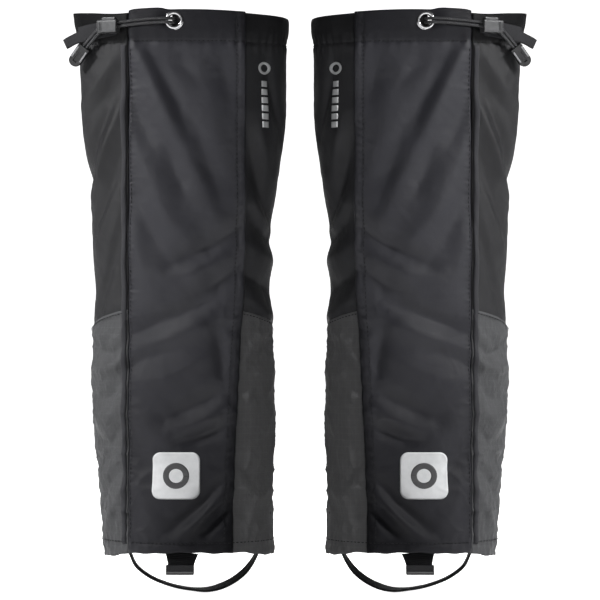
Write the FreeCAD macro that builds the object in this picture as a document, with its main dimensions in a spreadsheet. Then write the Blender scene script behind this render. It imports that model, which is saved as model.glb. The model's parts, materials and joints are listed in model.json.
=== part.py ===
"""A pair of knee-high mountaineering gaiters, one for each leg, as a parametric FreeCAD document.

Millimetres. +Z is up along the leg, -Y is the front of the shin, and +X is the wearer's left.
The origin is on the ground, midway between the two gaiters, where the boots' soles would stand.
Everything is drawn for the right leg, at negative X, and mirrored for the left leg.
"""

import math
import os

import FreeCAD
import Part

Vector = FreeCAD.Vector

doc = FreeCAD.newDocument("Gaiters")
sheet = doc.addObject("Spreadsheet::Sheet", "Dimensions")

DIMENSIONS = [
    # heights above the ground
    ("hem_height", 35.0, "bottom edge of the fabric"),
    ("boot_height", 62.0, "station at the boot's collar"),
    ("ankle_height", 110.0, "station above the boot"),
    ("shin_height", 195.0, "station at the lower shin"),
    ("waist_height", 285.0, "narrowest station, under the calf"),
    ("calf_height", 371.0, "station on the calf"),
    ("cord_height", 446.0, "station at the middle of the drawcord channel"),
    ("top_height", 458.0, "top edge of the fabric"),
    ("top_stitch_height", 433.7, "stitch line under the drawcord channel"),
    ("bottom_stitch_height", 45.0, "stitch line of the bottom hem"),
    # the leg tube at those stations: middle, half width and half depth
    ("hem_middle", -87.4, "X of the tube's middle at the hem"),
    ("boot_middle", -88.8, ""),
    ("ankle_middle", -91.0, ""),
    ("shin_middle", -93.3, ""),
    ("waist_middle", -94.2, ""),
    ("calf_middle", -92.0, ""),
    ("cord_middle", -93.3, ""),
    ("top_middle", -93.6, ""),
    ("hem_half_width", 65.5, "half width across the foot"),
    ("boot_half_width", 67.3, ""),
    ("ankle_half_width", 70.0, ""),
    ("shin_half_width", 71.5, ""),
    ("waist_half_width", 70.2, ""),
    ("calf_half_width", 80.3, ""),
    ("cord_half_width", 83.1, ""),
    ("top_half_width", 83.4, ""),
    ("hem_half_depth", 44.0, "half depth, front to back"),
    ("boot_half_depth", 42.2, ""),
    ("ankle_half_depth", 39.7, ""),
    ("shin_half_depth", 38.2, ""),
    ("waist_half_depth", 38.0, ""),
    ("calf_half_depth", 37.0, ""),
    ("cord_half_depth", 36.0, ""),
    ("top_half_depth", 35.8, ""),
    # layers, as distances out from the shell's outer face
    ("elastic_inner", -2.7, ""),
    ("hem_facing_inner", -4.8, "inner face of the drawcord channel"),
    ("hem_facing_outer", -4.0, ""),
    ("flap_facing_inner", -2.4, "the same channel, on the flap"),
    ("flap_facing_outer", -1.6, ""),
    ("lining_inner", -1.8, "bottom hem's turned-in edge"),
    ("tape_inner", -1.4, "waterproof seam tape"),
    ("shell_inner", -1.0, "the shell fabric is 1 mm of three-layer cloth"),
    ("shell_outer", 0.0, ""),
    ("print_outer", 0.3, "reflective print"),
    ("hook_outer", 0.6, "hook tape on the placket"),
    ("loop_inner", 0.8, "loop tape under the flap"),
    ("flap_inner", 1.4, "the flap lies over both tapes"),
    ("flap_outer", 2.4, ""),
    ("patch_outer", 2.7, "reflective patch on the flap"),
    ("piping_outer", 2.5, "piped seam that the flap is sewn into"),
    # vertical lines, as X
    ("hinge_x", -133.4, "seam that the flap turns about"),
    ("flap_edge_gap", 0.8, "from that seam to the flap's own edge"),
    ("piping_near_x", -134.9, ""),
    ("piping_far_x", -139.6, ""),
    ("outer_panel_x", -134.0, "front edge of the outer side panels"),
    ("back_seam_x", -93.0, "centre-back seam"),
    ("placket_far_x", -99.5, "free edge of the placket under the flap"),
    ("placket_near_x", -58.0, "seam of the placket and the inner side panels"),
    # the seam between the upper and the lower panels is a sloping plane
    ("panel_seam_height", 210.0, "its height at the sides"),
    ("panel_seam_slope", 0.5, "how much it rises towards the front"),
    # drawcord
    ("cord_diameter", 2.5, "elastic drawcord"),
    ("cord_spacing", 2.9, "between the two strands"),
    # tapes
    ("hook_from_edge", 16.0, "hook tape, from the flap's free edge to its near side"),
    ("hook_to_edge", 36.0, "and to its far side"),
    ("loop_from_edge", 9.0, "loop tape, the same way"),
    ("loop_to_edge", 31.0, ""),
    ("tape_half_width", 11.0, "seam tape behind the centre-back seam"),
    ("elastic_half_width", 36.0, "elastic at the back of the ankle"),
    ("elastic_bottom", 104.0, ""),
    ("elastic_top", 122.0, ""),
    ("channel_rim", 1.0, "stitched edge of a drawcord channel"),
    # prints
    ("patch_side", 36.5, "square patch on the flap"),
    ("patch_x", -96.3, ""),
    ("patch_height", 96.0, ""),
    ("patch_corner", 6.5, ""),
    ("mark_radius", 4.2, "disc of the side mark"),
    ("mark_x", -27.6, ""),
    ("mark_height", 414.5, ""),
    ("mark_bar_width", 3.4, ""),
    ("mark_bar_bottom", 366.0, ""),
    ("mark_bar_top", 405.0, ""),
    # eyelet
    ("eyelet_x", -98.1, ""),
    ("eyelet_height", 449.6, ""),
    ("eyelet_flange_radius", 7.6, ""),
    ("eyelet_bore_radius", 4.5, ""),
    ("eyelet_barrel_radius", 5.0, ""),
    ("eyelet_crown_radius", 5.5, ""),
    # cord lock, in its own frame: x along the cord, y into the leg, z up
    ("lock_x", -149.5, ""),
    ("lock_y", -34.3, ""),
    ("lock_height", 445.3, ""),
    ("lock_turn", -20.0, "degrees about Z, so that it lies against the panel"),
    ("lock_length", 16.0, ""),
    ("lock_tall", 9.8, ""),
    ("lock_deep", 9.0, ""),
    ("lock_wall", 1.25, ""),
    ("lock_cord_rise", 1.45, "the strands run above the housing's middle"),
    ("button_proud", 2.2, "how far the button stands out of the housing"),
    ("button_travel", 1.2, ""),
    ("spring_wire", 0.35, ""),
    ("spring_radius", 1.9, ""),
    # cord end
    ("cord_end_width", 10.6, ""),
    ("cord_end_thickness", 5.4, ""),
    ("cord_end_recess", 1.1, "depth of the recess down each face"),
    # straps
    ("strap_width", 14.0, "instep strap, front to back"),
    ("strap_thickness", 1.8, ""),
    ("anchor_half_width", 8.0, "sewn patches that hold the strap's ends"),
    ("anchor_bottom", 54.0, ""),
    ("anchor_top", 68.0, ""),
    ("lace_tab_thickness", 1.6, ""),
    ("lace_tab_y", -41.2, "middle of the lace tab, front to back"),
    ("hook_thickness", 1.2, "sheet steel of the lace hook"),
    ("hook_throat", 4.8, "room for a boot lace"),
    ("webbing_thickness", 1.3, "webbing that holds the cord lock"),
]

for row, (alias, value, note) in enumerate(DIMENSIONS, start=1):
    sheet.set(f"A{row}", note)
    sheet.set(f"B{row}", str(value))
    sheet.setAlias(f"B{row}", alias)
doc.recompute()

STATIONS = ("hem", "boot", "ankle", "shin", "waist", "calf", "cord", "top")
FAR = 130.0  # well outside the fabric
BELOW, ABOVE = -20.0, 520.0


def size(alias):
    """The value of a cell of the sheet."""
    return float(sheet.get(alias))


def bind(thing, **expressions):
    """Binds an object's properties to the sheet. Two underscores in a name stand for a full stop."""
    for name, expression in expressions.items():
        thing.setExpression(name.replace("__", "."), expression)
    return thing


def cell(alias):
    return f"Dimensions.{alias}"


def feature(name, shape):
    """An object whose shape is worked out here, from the sheet."""
    made = doc.addObject("Part::Feature", name)
    made.Shape = shape
    return made


def box(name, low, high):
    """A Part::Box from one corner to the other."""
    made = doc.addObject("Part::Box", name)
    made.Length, made.Width, made.Height = (h - l for l, h in zip(low, high))
    made.Placement.Base = Vector(*low)
    return made


def prism(name, points, along, start, length):
    """A polygon pushed along one axis. Its points are in the other two axes, in X, Y, Z order."""
    place = {
        "X": lambda p: Vector(start, p[0], p[1]),
        "Y": lambda p: Vector(p[0], start, p[1]),
        "Z": lambda p: Vector(p[0], p[1], start),
    }[along]
    direction = {"X": Vector(1, 0, 0), "Y": Vector(0, 1, 0), "Z": Vector(0, 0, 1)}[along]
    corners = [place(p) for p in points]
    face = Part.Face(Part.makePolygon(corners + corners[:1]))
    return feature(name, face.extrude(direction * length))


def cut(name, base, tool):
    made = doc.addObject("Part::Cut", name)
    made.Base, made.Tool = base, tool
    return made


def common(name, *shapes):
    made = doc.addObject("Part::MultiCommon", name)
    made.Shapes = list(shapes)
    return made


def fuse(name, *shapes):
    made = doc.addObject("Part::MultiFuse", name)
    made.Shapes = list(shapes)
    return made


def compound(name, *shapes):
    made = doc.addObject("Part::Compound", name)
    made.Links = list(shapes)
    return made


# The leg tube: ellipses at the stations, lofted, one loft for each layer's face.

_layers = {}


def layer_solid(alias):
    """Everything inside one layer's face, from the hem to the top."""
    if alias not in _layers:
        rings = []
        for station in STATIONS:
            ring = doc.addObject("Part::Ellipse", f"{station}_ring_{alias}")
            bind(
                ring,
                MajorRadius=f"{cell(station + '_half_width')} + {cell(alias)}",
                MinorRadius=f"{cell(station + '_half_depth')} + {cell(alias)}",
                Placement__Base__x=cell(station + "_middle"),
                Placement__Base__z=cell(station + "_height"),
            )
            rings.append(ring)
        loft = doc.addObject("Part::Loft", f"inside_{alias}")
        loft.Sections, loft.Solid, loft.Ruled = rings, True, False
        _layers[alias] = loft
    return _layers[alias]


_sleeves = {}


def sleeve(inner, outer):
    """The tube between two layers' faces."""
    if (inner, outer) not in _sleeves:
        _sleeves[inner, outer] = cut(f"sleeve_{inner}_{outer}", layer_solid(outer), layer_solid(inner))
    return _sleeves[inner, outer]


def slab(name, low, high):
    """All the room between two heights."""
    return box(name, (-FAR - 120, -FAR, low), (FAR, FAR, high))


# Where each piece of cloth lies, seen from above.

LEFT, RIGHT = -240.0, 40.0
hinge, gap = size("hinge_x"), size("flap_edge_gap")
top, hem = size("top_height"), size("hem_height")
back_x, placket_far, placket_near = size("back_seam_x"), size("placket_far_x"), size("placket_near_x")

outer_side = prism(
    "outer_side",
    [
        (LEFT, -FAR), (size("outer_panel_x"), -FAR), (size("outer_panel_x"), 0), (back_x, 0), (back_x, FAR),
        (LEFT, FAR),
    ],
    "Z", BELOW, ABOVE,
)
inner_side = prism(
    "inner_side",
    [(back_x, FAR), (back_x, 0), (placket_near, 0), (placket_near, -FAR), (RIGHT, -FAR), (RIGHT, FAR)],
    "Z", BELOW, ABOVE,
)
all_but_the_opening = prism(
    "all_but_the_opening",
    [
        (LEFT, -FAR), (size("outer_panel_x") - 0.5, -FAR), (size("outer_panel_x") - 0.5, 0), (placket_far, 0),
        (placket_far, -FAR), (RIGHT, -FAR), (RIGHT, FAR), (LEFT, FAR),
    ],
    "Z", BELOW, ABOVE,
)


def seam_height(y):
    """Height of the seam between the upper and the lower panels."""
    return size("panel_seam_height") - size("panel_seam_slope") * y


lower_part = prism(
    "lower_part",
    [(-FAR, BELOW), (FAR, BELOW), (FAR, seam_height(FAR)), (-FAR, seam_height(-FAR))],
    "X", LEFT, RIGHT - LEFT,
)
upper_part = prism(
    "upper_part",
    [(-FAR, seam_height(-FAR)), (FAR, seam_height(FAR)), (FAR, ABOVE), (-FAR, ABOVE)],
    "X", LEFT, RIGHT - LEFT,
)

# The flap's free edge, seen from the front: it bows out over the calf and comes in at the ankle.
FLAP_EDGE = [(-44.5, top), (-42.7, 350.0), (-45.6, 232.0), (-50.0, 155.0), (-53.0, hem)]


def flap_outline(from_hinge, from_edge, low, high):
    """The flap seen from the front, or a strip of it, between two heights."""
    edge = [(x - from_edge, min(max(z, low), high)) for x, z in FLAP_EDGE]
    return [(hinge + from_hinge, low), (hinge + from_hinge, high)] + edge


def strip_outline(near, far, low, high):
    """A strip beside the flap's free edge, between two distances from it."""
    outside = [(x - near, min(max(z, low), high)) for x, z in FLAP_EDGE]
    inside = [(x - far, z) for (x, _), (_, z) in zip(FLAP_EDGE, outside)]
    return outside + inside[::-1]


nodes = {}


def keep(name, thing):
    """Names a finished sub-part."""
    thing.Label = f"right_{name}"
    nodes[name] = thing


def shell_panels():
    shell = sleeve("shell_inner", "shell_outer")
    keep("outer_upper_panel", common("outer_upper", shell, outer_side, upper_part))
    keep("outer_lower_panel", common("outer_lower", shell, outer_side, lower_part))
    keep("inner_upper_panel", common("inner_upper", shell, inner_side, upper_part))
    keep("inner_lower_panel", common("inner_lower", shell, inner_side, lower_part))
    room = box("placket_room", (placket_far, -FAR, BELOW), (placket_near, 0, ABOVE))
    keep("placket", common("placket_cloth", shell, room))


def closure():
    """Hook tape on the placket and loop tape under the flap, full length."""
    hook_edges = size("hook_from_edge"), size("hook_to_edge")
    hook_room = prism("hook_room", strip_outline(*hook_edges, 52.0, 428.0), "Y", -FAR, FAR)
    keep("hook_strip", common("hook_tape", sleeve("shell_outer", "hook_outer"), hook_room))
    loop_edges = size("loop_from_edge"), size("loop_to_edge")
    loop_room = prism("loop_room", strip_outline(*loop_edges, 50.0, 430.0), "Y", -FAR, FAR)
    keep("loop_strip", common("loop_tape", sleeve("loop_inner", "flap_inner"), loop_room))


def piping():
    room = box("piping_room", (size("piping_far_x"), -FAR, hem + 8.5), (size("piping_near_x"), 0, top - 27.0))
    keep("flap_seam_piping", common("piping_cord", sleeve("shell_outer", "piping_outer"), room))


def channel(name, label, inner, lining, outer, room):
    """A drawcord channel: a facing with a rim above and below that joins it to the cloth."""
    low, high, rim = size("top_stitch_height"), top, size("channel_rim")
    wall = common(f"{name}_wall", sleeve(inner, lining), room, slab(f"{name}_room", low + rim, high - rim))
    lower = common(f"{name}_lower", sleeve(inner, outer), room, slab(f"{name}_low_rim", low, low + rim))
    upper = common(f"{name}_upper", sleeve(inner, outer), room, slab(f"{name}_high_rim", high - rim, high))
    keep(label, fuse(name, wall, lower, upper))


def hems():
    channel(
        "body_channel", "top_hem_facing", "hem_facing_inner", "hem_facing_outer", "shell_inner", all_but_the_opening,
    )
    flap_room = box("flap_channel_room", (hinge + 3.4, -FAR, BELOW), (placket_far - 2.0, 0, ABOVE))
    channel("flap_channel", "flap_hem_facing", "flap_facing_inner", "flap_facing_outer", "flap_inner", flap_room)
    hem_slab = slab("bottom_hem_height", hem, size("bottom_stitch_height") + 2.0)
    keep(
        "bottom_hem_facing",
        common("bottom_hem", sleeve("lining_inner", "shell_inner"), all_but_the_opening, hem_slab),
    )


def inner_tapes():
    tape_half, elastic_half = size("tape_half_width"), size("elastic_half_width")
    tape_room = box(
        "tape_room",
        (back_x - tape_half, 0, hem + 13.0),
        (back_x + tape_half, FAR, size("top_stitch_height") - 1.0),
    )
    keep("back_seam_tape", common("seam_tape", sleeve("tape_inner", "shell_inner"), tape_room))
    elastic_room = box(
        "elastic_room",
        (back_x - elastic_half, 0, size("elastic_bottom")),
        (back_x + elastic_half, FAR, size("elastic_top")),
    )
    keep("ankle_elastic", common("elastic", sleeve("elastic_inner", "tape_inner"), elastic_room))


def prints():
    """A plain rounded patch low on the flap, and a disc and a bar high on the inner panel."""
    square = box("patch_square", (0, -FAR, 0), (1, 0, 1))
    bind(
        square,
        Length=cell("patch_side"),
        Height=cell("patch_side"),
        Placement__Base__x=f"{cell('patch_x')} - {cell('patch_side')} / 2",
        Placement__Base__z=f"{cell('patch_height')} - {cell('patch_side')} / 2",
    )
    rounded = doc.addObject("Part::Fillet", "patch_rounded")
    rounded.Base = square
    doc.recompute()
    upright = [
        i for i, e in enumerate(square.Shape.Edges, start=1)
        if abs(abs(e.tangentAt(e.FirstParameter).y) - 1) < 1e-6
    ]
    rounded.Edges = [(i, size("patch_corner"), size("patch_corner")) for i in upright]
    keep("flap_patch", common("patch", sleeve("flap_outer", "patch_outer"), rounded))

    disc = doc.addObject("Part::Cylinder", "mark_disc")
    disc.Height = FAR
    disc.Placement = FreeCAD.Placement(
        Vector(size("mark_x"), 0, size("mark_height")), FreeCAD.Rotation(Vector(1, 0, 0), 90)
    )
    bind(disc, Radius=cell("mark_radius"))
    bar = box("mark_bar", (0, -FAR, 0), (1, 0, 1))
    bind(
        bar,
        Length=cell("mark_bar_width"),
        Height=f"{cell('mark_bar_top')} - {cell('mark_bar_bottom')}",
        Placement__Base__x=f"{cell('mark_x')} - {cell('mark_bar_width')} / 2",
        Placement__Base__z=cell("mark_bar_bottom"),
    )
    print_room = compound("mark_room", disc, bar)
    keep("side_mark", common("mark", sleeve("shell_outer", "print_outer"), print_room))


def eyelet():
    """A pressed eyelet with a rolled crown, and its washer behind the flap."""
    x, z = size("eyelet_x"), size("eyelet_height")
    into = FreeCAD.Rotation(Vector(1, 0, 0), -90)  # a cylinder's axis from front to back
    front = -(size("cord_half_depth") + size("flap_outer")) - 0.12

    def ring(name, radius, start, length):
        made = doc.addObject("Part::Cylinder", name)
        made.Placement = FreeCAD.Placement(Vector(x, start, z), into)
        made.Height = length
        return bind(made, Radius=cell(radius))

    crown = doc.addObject("Part::Torus", "eyelet_crown")
    bind(crown, Radius1=cell("eyelet_crown_radius"))
    crown.Radius2 = 0.8
    crown.Placement = FreeCAD.Placement(Vector(x, front - 0.8, z), into)
    solid = fuse(
        "eyelet_blank",
        ring("eyelet_flange", "eyelet_flange_radius", front - 0.8, 0.8),
        ring("eyelet_barrel", "eyelet_barrel_radius", front - 0.8, 3.0),
        crown,
    )
    keep("eyelet", cut("eyelet_ring", solid, ring("eyelet_bore", "eyelet_bore_radius", front - 5, 12)))
    washer_front = front + 1.7
    keep(
        "eyelet_washer",
        cut("washer_ring", ring("washer_disc", "eyelet_flange_radius", washer_front, 0.5),
            ring("washer_bore", "eyelet_barrel_radius", washer_front - 1, 3)),
    )
    return ring("eyelet_seat", "eyelet_barrel_radius", -FAR, FAR)


def flap(eyelet_seat):
    room = prism("flap_room", flap_outline(gap, 0.0, hem, top), "Y", -FAR, FAR)
    cloth = common("flap_cloth", sleeve("flap_inner", "flap_outer"), room)
    keep("front_flap", cut("flap_with_hole", cloth, eyelet_seat))


# Cords. A cord's path is straight runs joined by tangent arcs.


def rounded_path(points, share=0.45):
    """The points joined by straight runs, with each corner turned by an arc as large as its runs allow."""
    edges, last, radii = [], points[0], []
    for before, corner, after in zip(points, points[1:], points[2:]):
        a, b = before - corner, after - corner
        turn = math.pi - a.getAngle(b)
        reach = share * min(a.Length, b.Length)
        start, end = corner + a.normalize() * reach, corner + b.normalize() * reach
        radius = reach / math.tan(turn / 2)
        radii.append(radius)
        middle_way = (a + b).normalize()
        centre = corner + middle_way * math.hypot(reach, radius)
        middle = centre - middle_way * radius
        edges += [Part.LineSegment(last, start).toShape(), Part.Arc(start, middle, end).toShape()]
        last = end
    edges.append(Part.LineSegment(last, points[-1]).toShape())
    return Part.Wire(edges), radii


def tube(path, diameter):
    """A round tube along a wire, checked against its section times its length."""
    start = path.Edges[0]
    section = Part.Wire(
        Part.makeCircle(diameter / 2, start.valueAt(start.FirstParameter), start.tangentAt(start.FirstParameter))
    )
    solid = path.makePipeShell([section], True, False)
    expected = math.pi * diameter**2 / 4 * path.Length
    if abs(solid.Volume - expected) > 0.02 * expected:
        raise ValueError(f"a tube holds {solid.Volume:.1f} mm3 where {expected:.1f} was expected")
    return solid


def lock_point(x, y, z):
    """A point of the cord lock's own frame, in the gaiter's."""
    turn = FreeCAD.Rotation(Vector(0, 0, 1), size("lock_turn"))
    return turn.multVec(Vector(x, y, z)) + Vector(size("lock_x"), size("lock_y"), size("lock_height"))


CORD_END_TOP = Vector(-168.6, -24.4, 430.8)
CORD_END_TIP = Vector(-179.0, -17.0, 417.4)


def strand_points(side):
    """The middle of one strand from the eyelet, over the flap, through the lock and into the cord end."""
    half = side * size("cord_spacing") / 2
    x, z = size("eyelet_x"), size("eyelet_height")
    axis = (CORD_END_TIP - CORD_END_TOP).normalize()
    across = Vector(-axis.z, 0, axis.x).normalize() * half * -1
    rise = size("lock_cord_rise") + half
    return [
        Vector(x + 0.4, -36.2, z + half),
        Vector(x + 0.2, -41.6, z + half),
        Vector(-113.0, -41.2, z - 0.2 + half),
        Vector(-127.5, -39.0, z - 1.2 + half),
        lock_point(8.6, 0.0, rise),
        lock_point(-4.2 - 0.45 * half, 0.0, rise),
        CORD_END_TOP + across * 0.9,
        CORD_END_TOP + axis * 9.0 + across * 0.9,
    ]


def drawcord():
    diameter, spacing = size("cord_diameter"), size("cord_spacing")
    strands = []
    for label, side in (("upper", 1), ("lower", -1)):
        path, radii = rounded_path(strand_points(side))
        print(label, "strand: length", round(path.Length, 1), "radii", [round(r, 1) for r in radii])
        strands.append(feature(f"{label}_strand", tube(path, diameter)))
    keep("drawcord_ends", compound("drawcord_ends", *strands))

    def run(name, offset, start_x, end_x, height, behind):
        """Two strands in a channel, from the front at start_x to the front at end_x."""
        rings = []
        a, b = size("cord_half_width") + offset, size("cord_half_depth") + offset
        middle = size("cord_middle")
        first = math.acos((start_x - middle) / a)
        last = math.acos((end_x - middle) / a)
        for number, side in enumerate((1, -1)):
            ellipse = Part.Ellipse(Vector(0, 0, 0), a, b)
            angles = (-last, 2 * math.pi - first) if behind else (-first, -last)
            arc = Part.ArcOfEllipse(ellipse, *angles).toShape()
            arc.translate(Vector(middle, 0, height + side * spacing / 2))
            rings.append(feature(f"{name}_{number}", tube(Part.Wire([arc]), diameter)))
        return compound(name, *rings)

    keep("drawcord_hem_run", run("hem_run", -2.5, -136.0, -98.0, size("cord_height"), True))
    keep("drawcord_flap_run", run("flap_run", -0.1, -129.5, -106.4, size("eyelet_height") - 1.5, False))


def cord_lock():
    """A push-button cord lock: an open-topped housing, a button with a window for the cords, and its spring."""
    length, tall, deep, wall = (size(f"lock_{name}") for name in ("length", "tall", "deep", "wall"))
    travel, half_cord = size("button_travel"), size("cord_diameter") / 2
    turn = FreeCAD.Rotation(Vector(0, 0, 1), size("lock_turn"))
    here = FreeCAD.Placement(Vector(size("lock_x"), size("lock_y"), size("lock_height")), turn)

    def local_box(low, high):
        return Part.makeBox(*(h - l for l, h in zip(low, high)), Vector(*low))

    def placed(name, shape):
        made = feature(name, shape)
        made.Placement = here
        return made

    cords_top = size("lock_cord_rise") + size("cord_spacing") / 2 + half_cord
    cords_bottom = size("lock_cord_rise") - size("cord_spacing") / 2 - half_cord
    floor = -tall / 2 + 0.8
    well_from, well_to, well_half = -length / 2 + 3.4, length / 2 - 1.4, deep / 2 - wall
    outer = local_box((-length / 2, -deep / 2, -tall / 2), (length / 2, deep / 2, tall / 2))
    outer = outer.makeFillet(1.3, [e for e in outer.Edges if abs(e.tangentAt(0).x) > 0.99])
    well = local_box((well_from, -well_half, floor), (well_to, well_half, tall))
    slot_half = half_cord + 0.25
    mouth = local_box((0, -slot_half - 0.15, cords_bottom - 0.15), (length, slot_half + 0.15, cords_top + 0.15))
    outlet = local_box((-length, -slot_half - 0.1, -tall), (-2.6, 3.4, cords_top + 0.2))
    keep("lock_housing", placed("housing", outer.cut(well).cut(mouth).cut(outlet)))

    clear = 0.25
    window_bottom, window_top = cords_bottom - 0.15, cords_top + travel + 0.1
    low = (well_from + clear, -well_half + clear, window_bottom - 0.8)
    high = (well_to - clear, well_half - clear, tall / 2 + size("button_proud"))
    block = local_box(low, high)
    block = block.makeFillet(0.7, [e for e in block.Edges if e.CenterOfMass.z > high[2] - 0.01])
    window = local_box((-length, -slot_half, window_bottom), (length, slot_half, window_top))
    way_out = local_box((-length, -slot_half - 0.4, -tall), (1.0, deep, window_top - travel))
    keep("lock_button", placed("button", block.cut(window).cut(way_out)))

    wire, radius, turns = size("spring_wire"), size("spring_radius"), 2
    room = low[2] - floor - 0.1
    pitch = (room - wire) / turns
    start = Vector(3.2, 0, floor + 0.05 + wire / 2)
    helix = Part.makeHelix(pitch, pitch * turns, radius)
    helix.translate(start)
    lean = pitch / (2 * math.pi * radius)
    ring = Part.Wire(Part.makeCircle(wire / 2, start + Vector(radius, 0, 0), Vector(0, 1, lean)))
    coil = Part.Wire(helix.Edges).makePipeShell([ring], True, True)
    keep("lock_spring", placed("spring", coil))


def cord_end():
    """A moulded end that both strands are fixed in: a rounded bar with a recess down each face."""
    axis = (CORD_END_TIP - CORD_END_TOP).normalize()
    long = (CORD_END_TIP - CORD_END_TOP).Length
    wide, thick, depth = size("cord_end_width"), size("cord_end_thickness"), size("cord_end_recess")
    body = Part.makeBox(wide - 0.01, thick, long, Vector(-wide / 2, -thick / 2, 0))
    upright = [e for e in body.Edges if abs(e.tangentAt(0).z) > 0.99]
    body = body.makeFillet(1.6, upright)
    tip = Part.makeCylinder(wide / 2, thick, Vector(0, -thick / 2, long - wide / 2), Vector(0, 1, 0))
    trim = Part.makeBox(wide, thick, wide / 2, Vector(-wide / 2, -thick / 2, long - wide / 2)).cut(tip)
    body = body.cut(trim)
    for side in (-1, 1):
        y = -thick / 2 if side < 0 else thick / 2 - depth
        body = body.cut(Part.makeBox(3.2, depth, long - 9.0, Vector(-1.6, y, 5.0)))
    made = feature("end_body", body)
    # The bar's flat faces look forward as nearly as its own slant allows.
    side_way = Vector(-axis.z, 0, axis.x).normalize()
    turn = FreeCAD.Rotation(side_way, axis.cross(side_way), axis, "ZXY")
    made.Placement = FreeCAD.Placement(CORD_END_TOP, turn)
    sockets = []
    for side in (1, -1):
        points = strand_points(side)
        path = Part.LineSegment(points[-2] - axis * 0.5, points[-1]).toShape()
        sockets.append(feature(f"socket_{side + 1}", tube(Part.Wire([path]), size("cord_diameter") + 0.02)))
    keep("cord_end", cut("end_with_sockets", made, compound("end_sockets", *sockets)))


def band(name, path, across, width, thickness):
    """A flat band along a wire that lies in one upright plane."""
    start = path.Edges[0]
    point, way = start.valueAt(start.FirstParameter), start.tangentAt(start.FirstParameter)
    side = way.cross(across).normalize()
    corners = [
        point + across * (i * width / 2) + side * (j * thickness / 2)
        for i, j in ((-1, -1), (1, -1), (1, 1), (-1, 1))
    ]
    section = Part.makePolygon(corners + corners[:1])
    return feature(name, path.makePipeShell([section], True, False))


def lock_tether():
    """Webbing from behind the lock round the outer corner, ending in a free pull tab."""
    thickness = size("webbing_thickness")
    plan = [
        Vector(x, y, 440) for x, y in (
            (-140.6, -31.3), (-150.6, -28.0), (-160.9, -22.9), (-169.1, -17.0), (-177.6, -10.8), (-189.0, -5.4),
        )
    ]
    path, _ = rounded_path(plan, 0.3)
    tall = band("tether_band", path, Vector(0, 0, 1), 60.0, thickness)
    outline = prism(
        "tether_outline",
        [(-141.0, 449.0), (-141.0, 438.0), (-158.3, 437.6), (-172.0, 434.0), (-186.6, 429.6), (-183.4, 440.0),
         (-172.0, 444.4), (-158.3, 448.6)],
        "Y", -FAR, 2 * FAR,
    )
    keep("lock_tether", common("tether", tall, outline))


def instep_strap():
    """A flat strap from one side wall, under the boot's arch, to the other, and its two sewn anchors."""
    points = [
        Vector(x, 0, z) for x, z in (
            (-151.1, 62.0), (-147.8, 51.0), (-136.6, 34.6), (-129.0, 18.4), (-112.0, 6.8), (-92.0, 0.6),
            (-74.0, -0.2), (-56.0, 6.8), (-41.5, 18.2), (-33.0, 33.0), (-29.0, 49.0), (-26.6, 62.0),
        )
    ]
    lift = size("strap_thickness") / 2
    path, radii = rounded_path([p + Vector(0, 0, lift) for p in points])
    print("strap: length", round(path.Length, 1), "radii", [round(r, 1) for r in radii])
    keep(
        "instep_strap",
        band("strap_band", path, Vector(0, 1, 0), size("strap_width"), size("strap_thickness")),
    )
    half, low, high = size("anchor_half_width"), size("anchor_bottom"), size("anchor_top")
    sides = compound(
        "anchor_room",
        box("outer_anchor_room", (LEFT, -half, low), (-140.0, half, high)),
        box("inner_anchor_room", (-40.0, -half, low), (RIGHT, half, high)),
    )
    keep("strap_anchors", common("anchors", sleeve("elastic_inner", "shell_inner"), sides))


def lace_hook():
    """A webbing tab under the placket's hem that holds a bent steel hook for the boot's laces."""
    y, thick = size("lace_tab_y"), size("lace_tab_thickness")
    tab_top, plate_top, plate_bottom = hem - 0.6, 26.0, 18.4
    middle = -93.4
    tab = prism(
        "lace_tab",
        [(middle - 11.8, tab_top), (middle + 14.6, tab_top), (middle + 10.6, plate_top),
         (middle + 10.0, 21.0), (middle - 10.0, 21.0), (middle - 10.2, plate_top)],
        "Y", y - thick / 2, thick,
    )
    keep("lace_tab", tab)
    steel, throat = size("hook_thickness"), size("hook_throat")
    front = y - thick / 2 - 0.05
    half = 10.8
    profile = [
        (front - steel, plate_top), (front, plate_top), (front, plate_bottom + steel),
        (front + thick + 0.1 + throat, plate_bottom + steel), (front + thick + 0.1 + throat, 25.4),
        (front + thick + 0.1 + throat + steel, 25.4), (front + thick + 0.1 + throat + steel, plate_bottom),
        (front - steel, plate_bottom),
    ]
    keep("lace_hook", prism("hook_plate", profile, "X", middle - half, 2 * half))


shell_panels()
closure()
piping()
hems()
inner_tapes()
prints()
flap(eyelet())
drawcord()
cord_lock()
cord_end()
lock_tether()
instep_strap()
lace_hook()

# The left gaiter is the right one's mirror image.
finished = {f"right_{name}": thing for name, thing in nodes.items()}
for name, thing in nodes.items():
    mirrored = doc.addObject("Part::Mirroring", f"left_{name}")
    mirrored.Source, mirrored.Normal, mirrored.Base = thing, Vector(1, 0, 0), Vector(0, 0, 0)
    mirrored.Label = f"left_{name}"
    finished[f"left_{name}"] = mirrored

doc.recompute()
for thing in doc.Objects:
    if "Invalid" in thing.State or "Error" in thing.State:
        raise RuntimeError(f"{thing.Label} failed: {thing.State}")

os.makedirs("parts", exist_ok=True)
for name, thing in sorted(finished.items()):
    shape = thing.Shape
    if shape.isNull() or not shape.isValid() or not shape.Solids:
        raise RuntimeError(f"{name} has no valid solid")
    shape.exportStep(f"parts/{name}.step")
print(len(finished), "sub-parts written")
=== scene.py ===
"""A pair of hiking gaiters: the looks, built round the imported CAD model.

Lengths are in millimetres and turned into metres when a mesh is made. Everything is drawn for the right gaiter,
at negative X, and mirrored for the left one. A place on the leg tube is (angle, height): the angle goes round
the tube in degrees, from 0 at the side between the legs, by 90 at the front and 180 at the outer side, to 270
at the back.
"""

import json
import math

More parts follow.
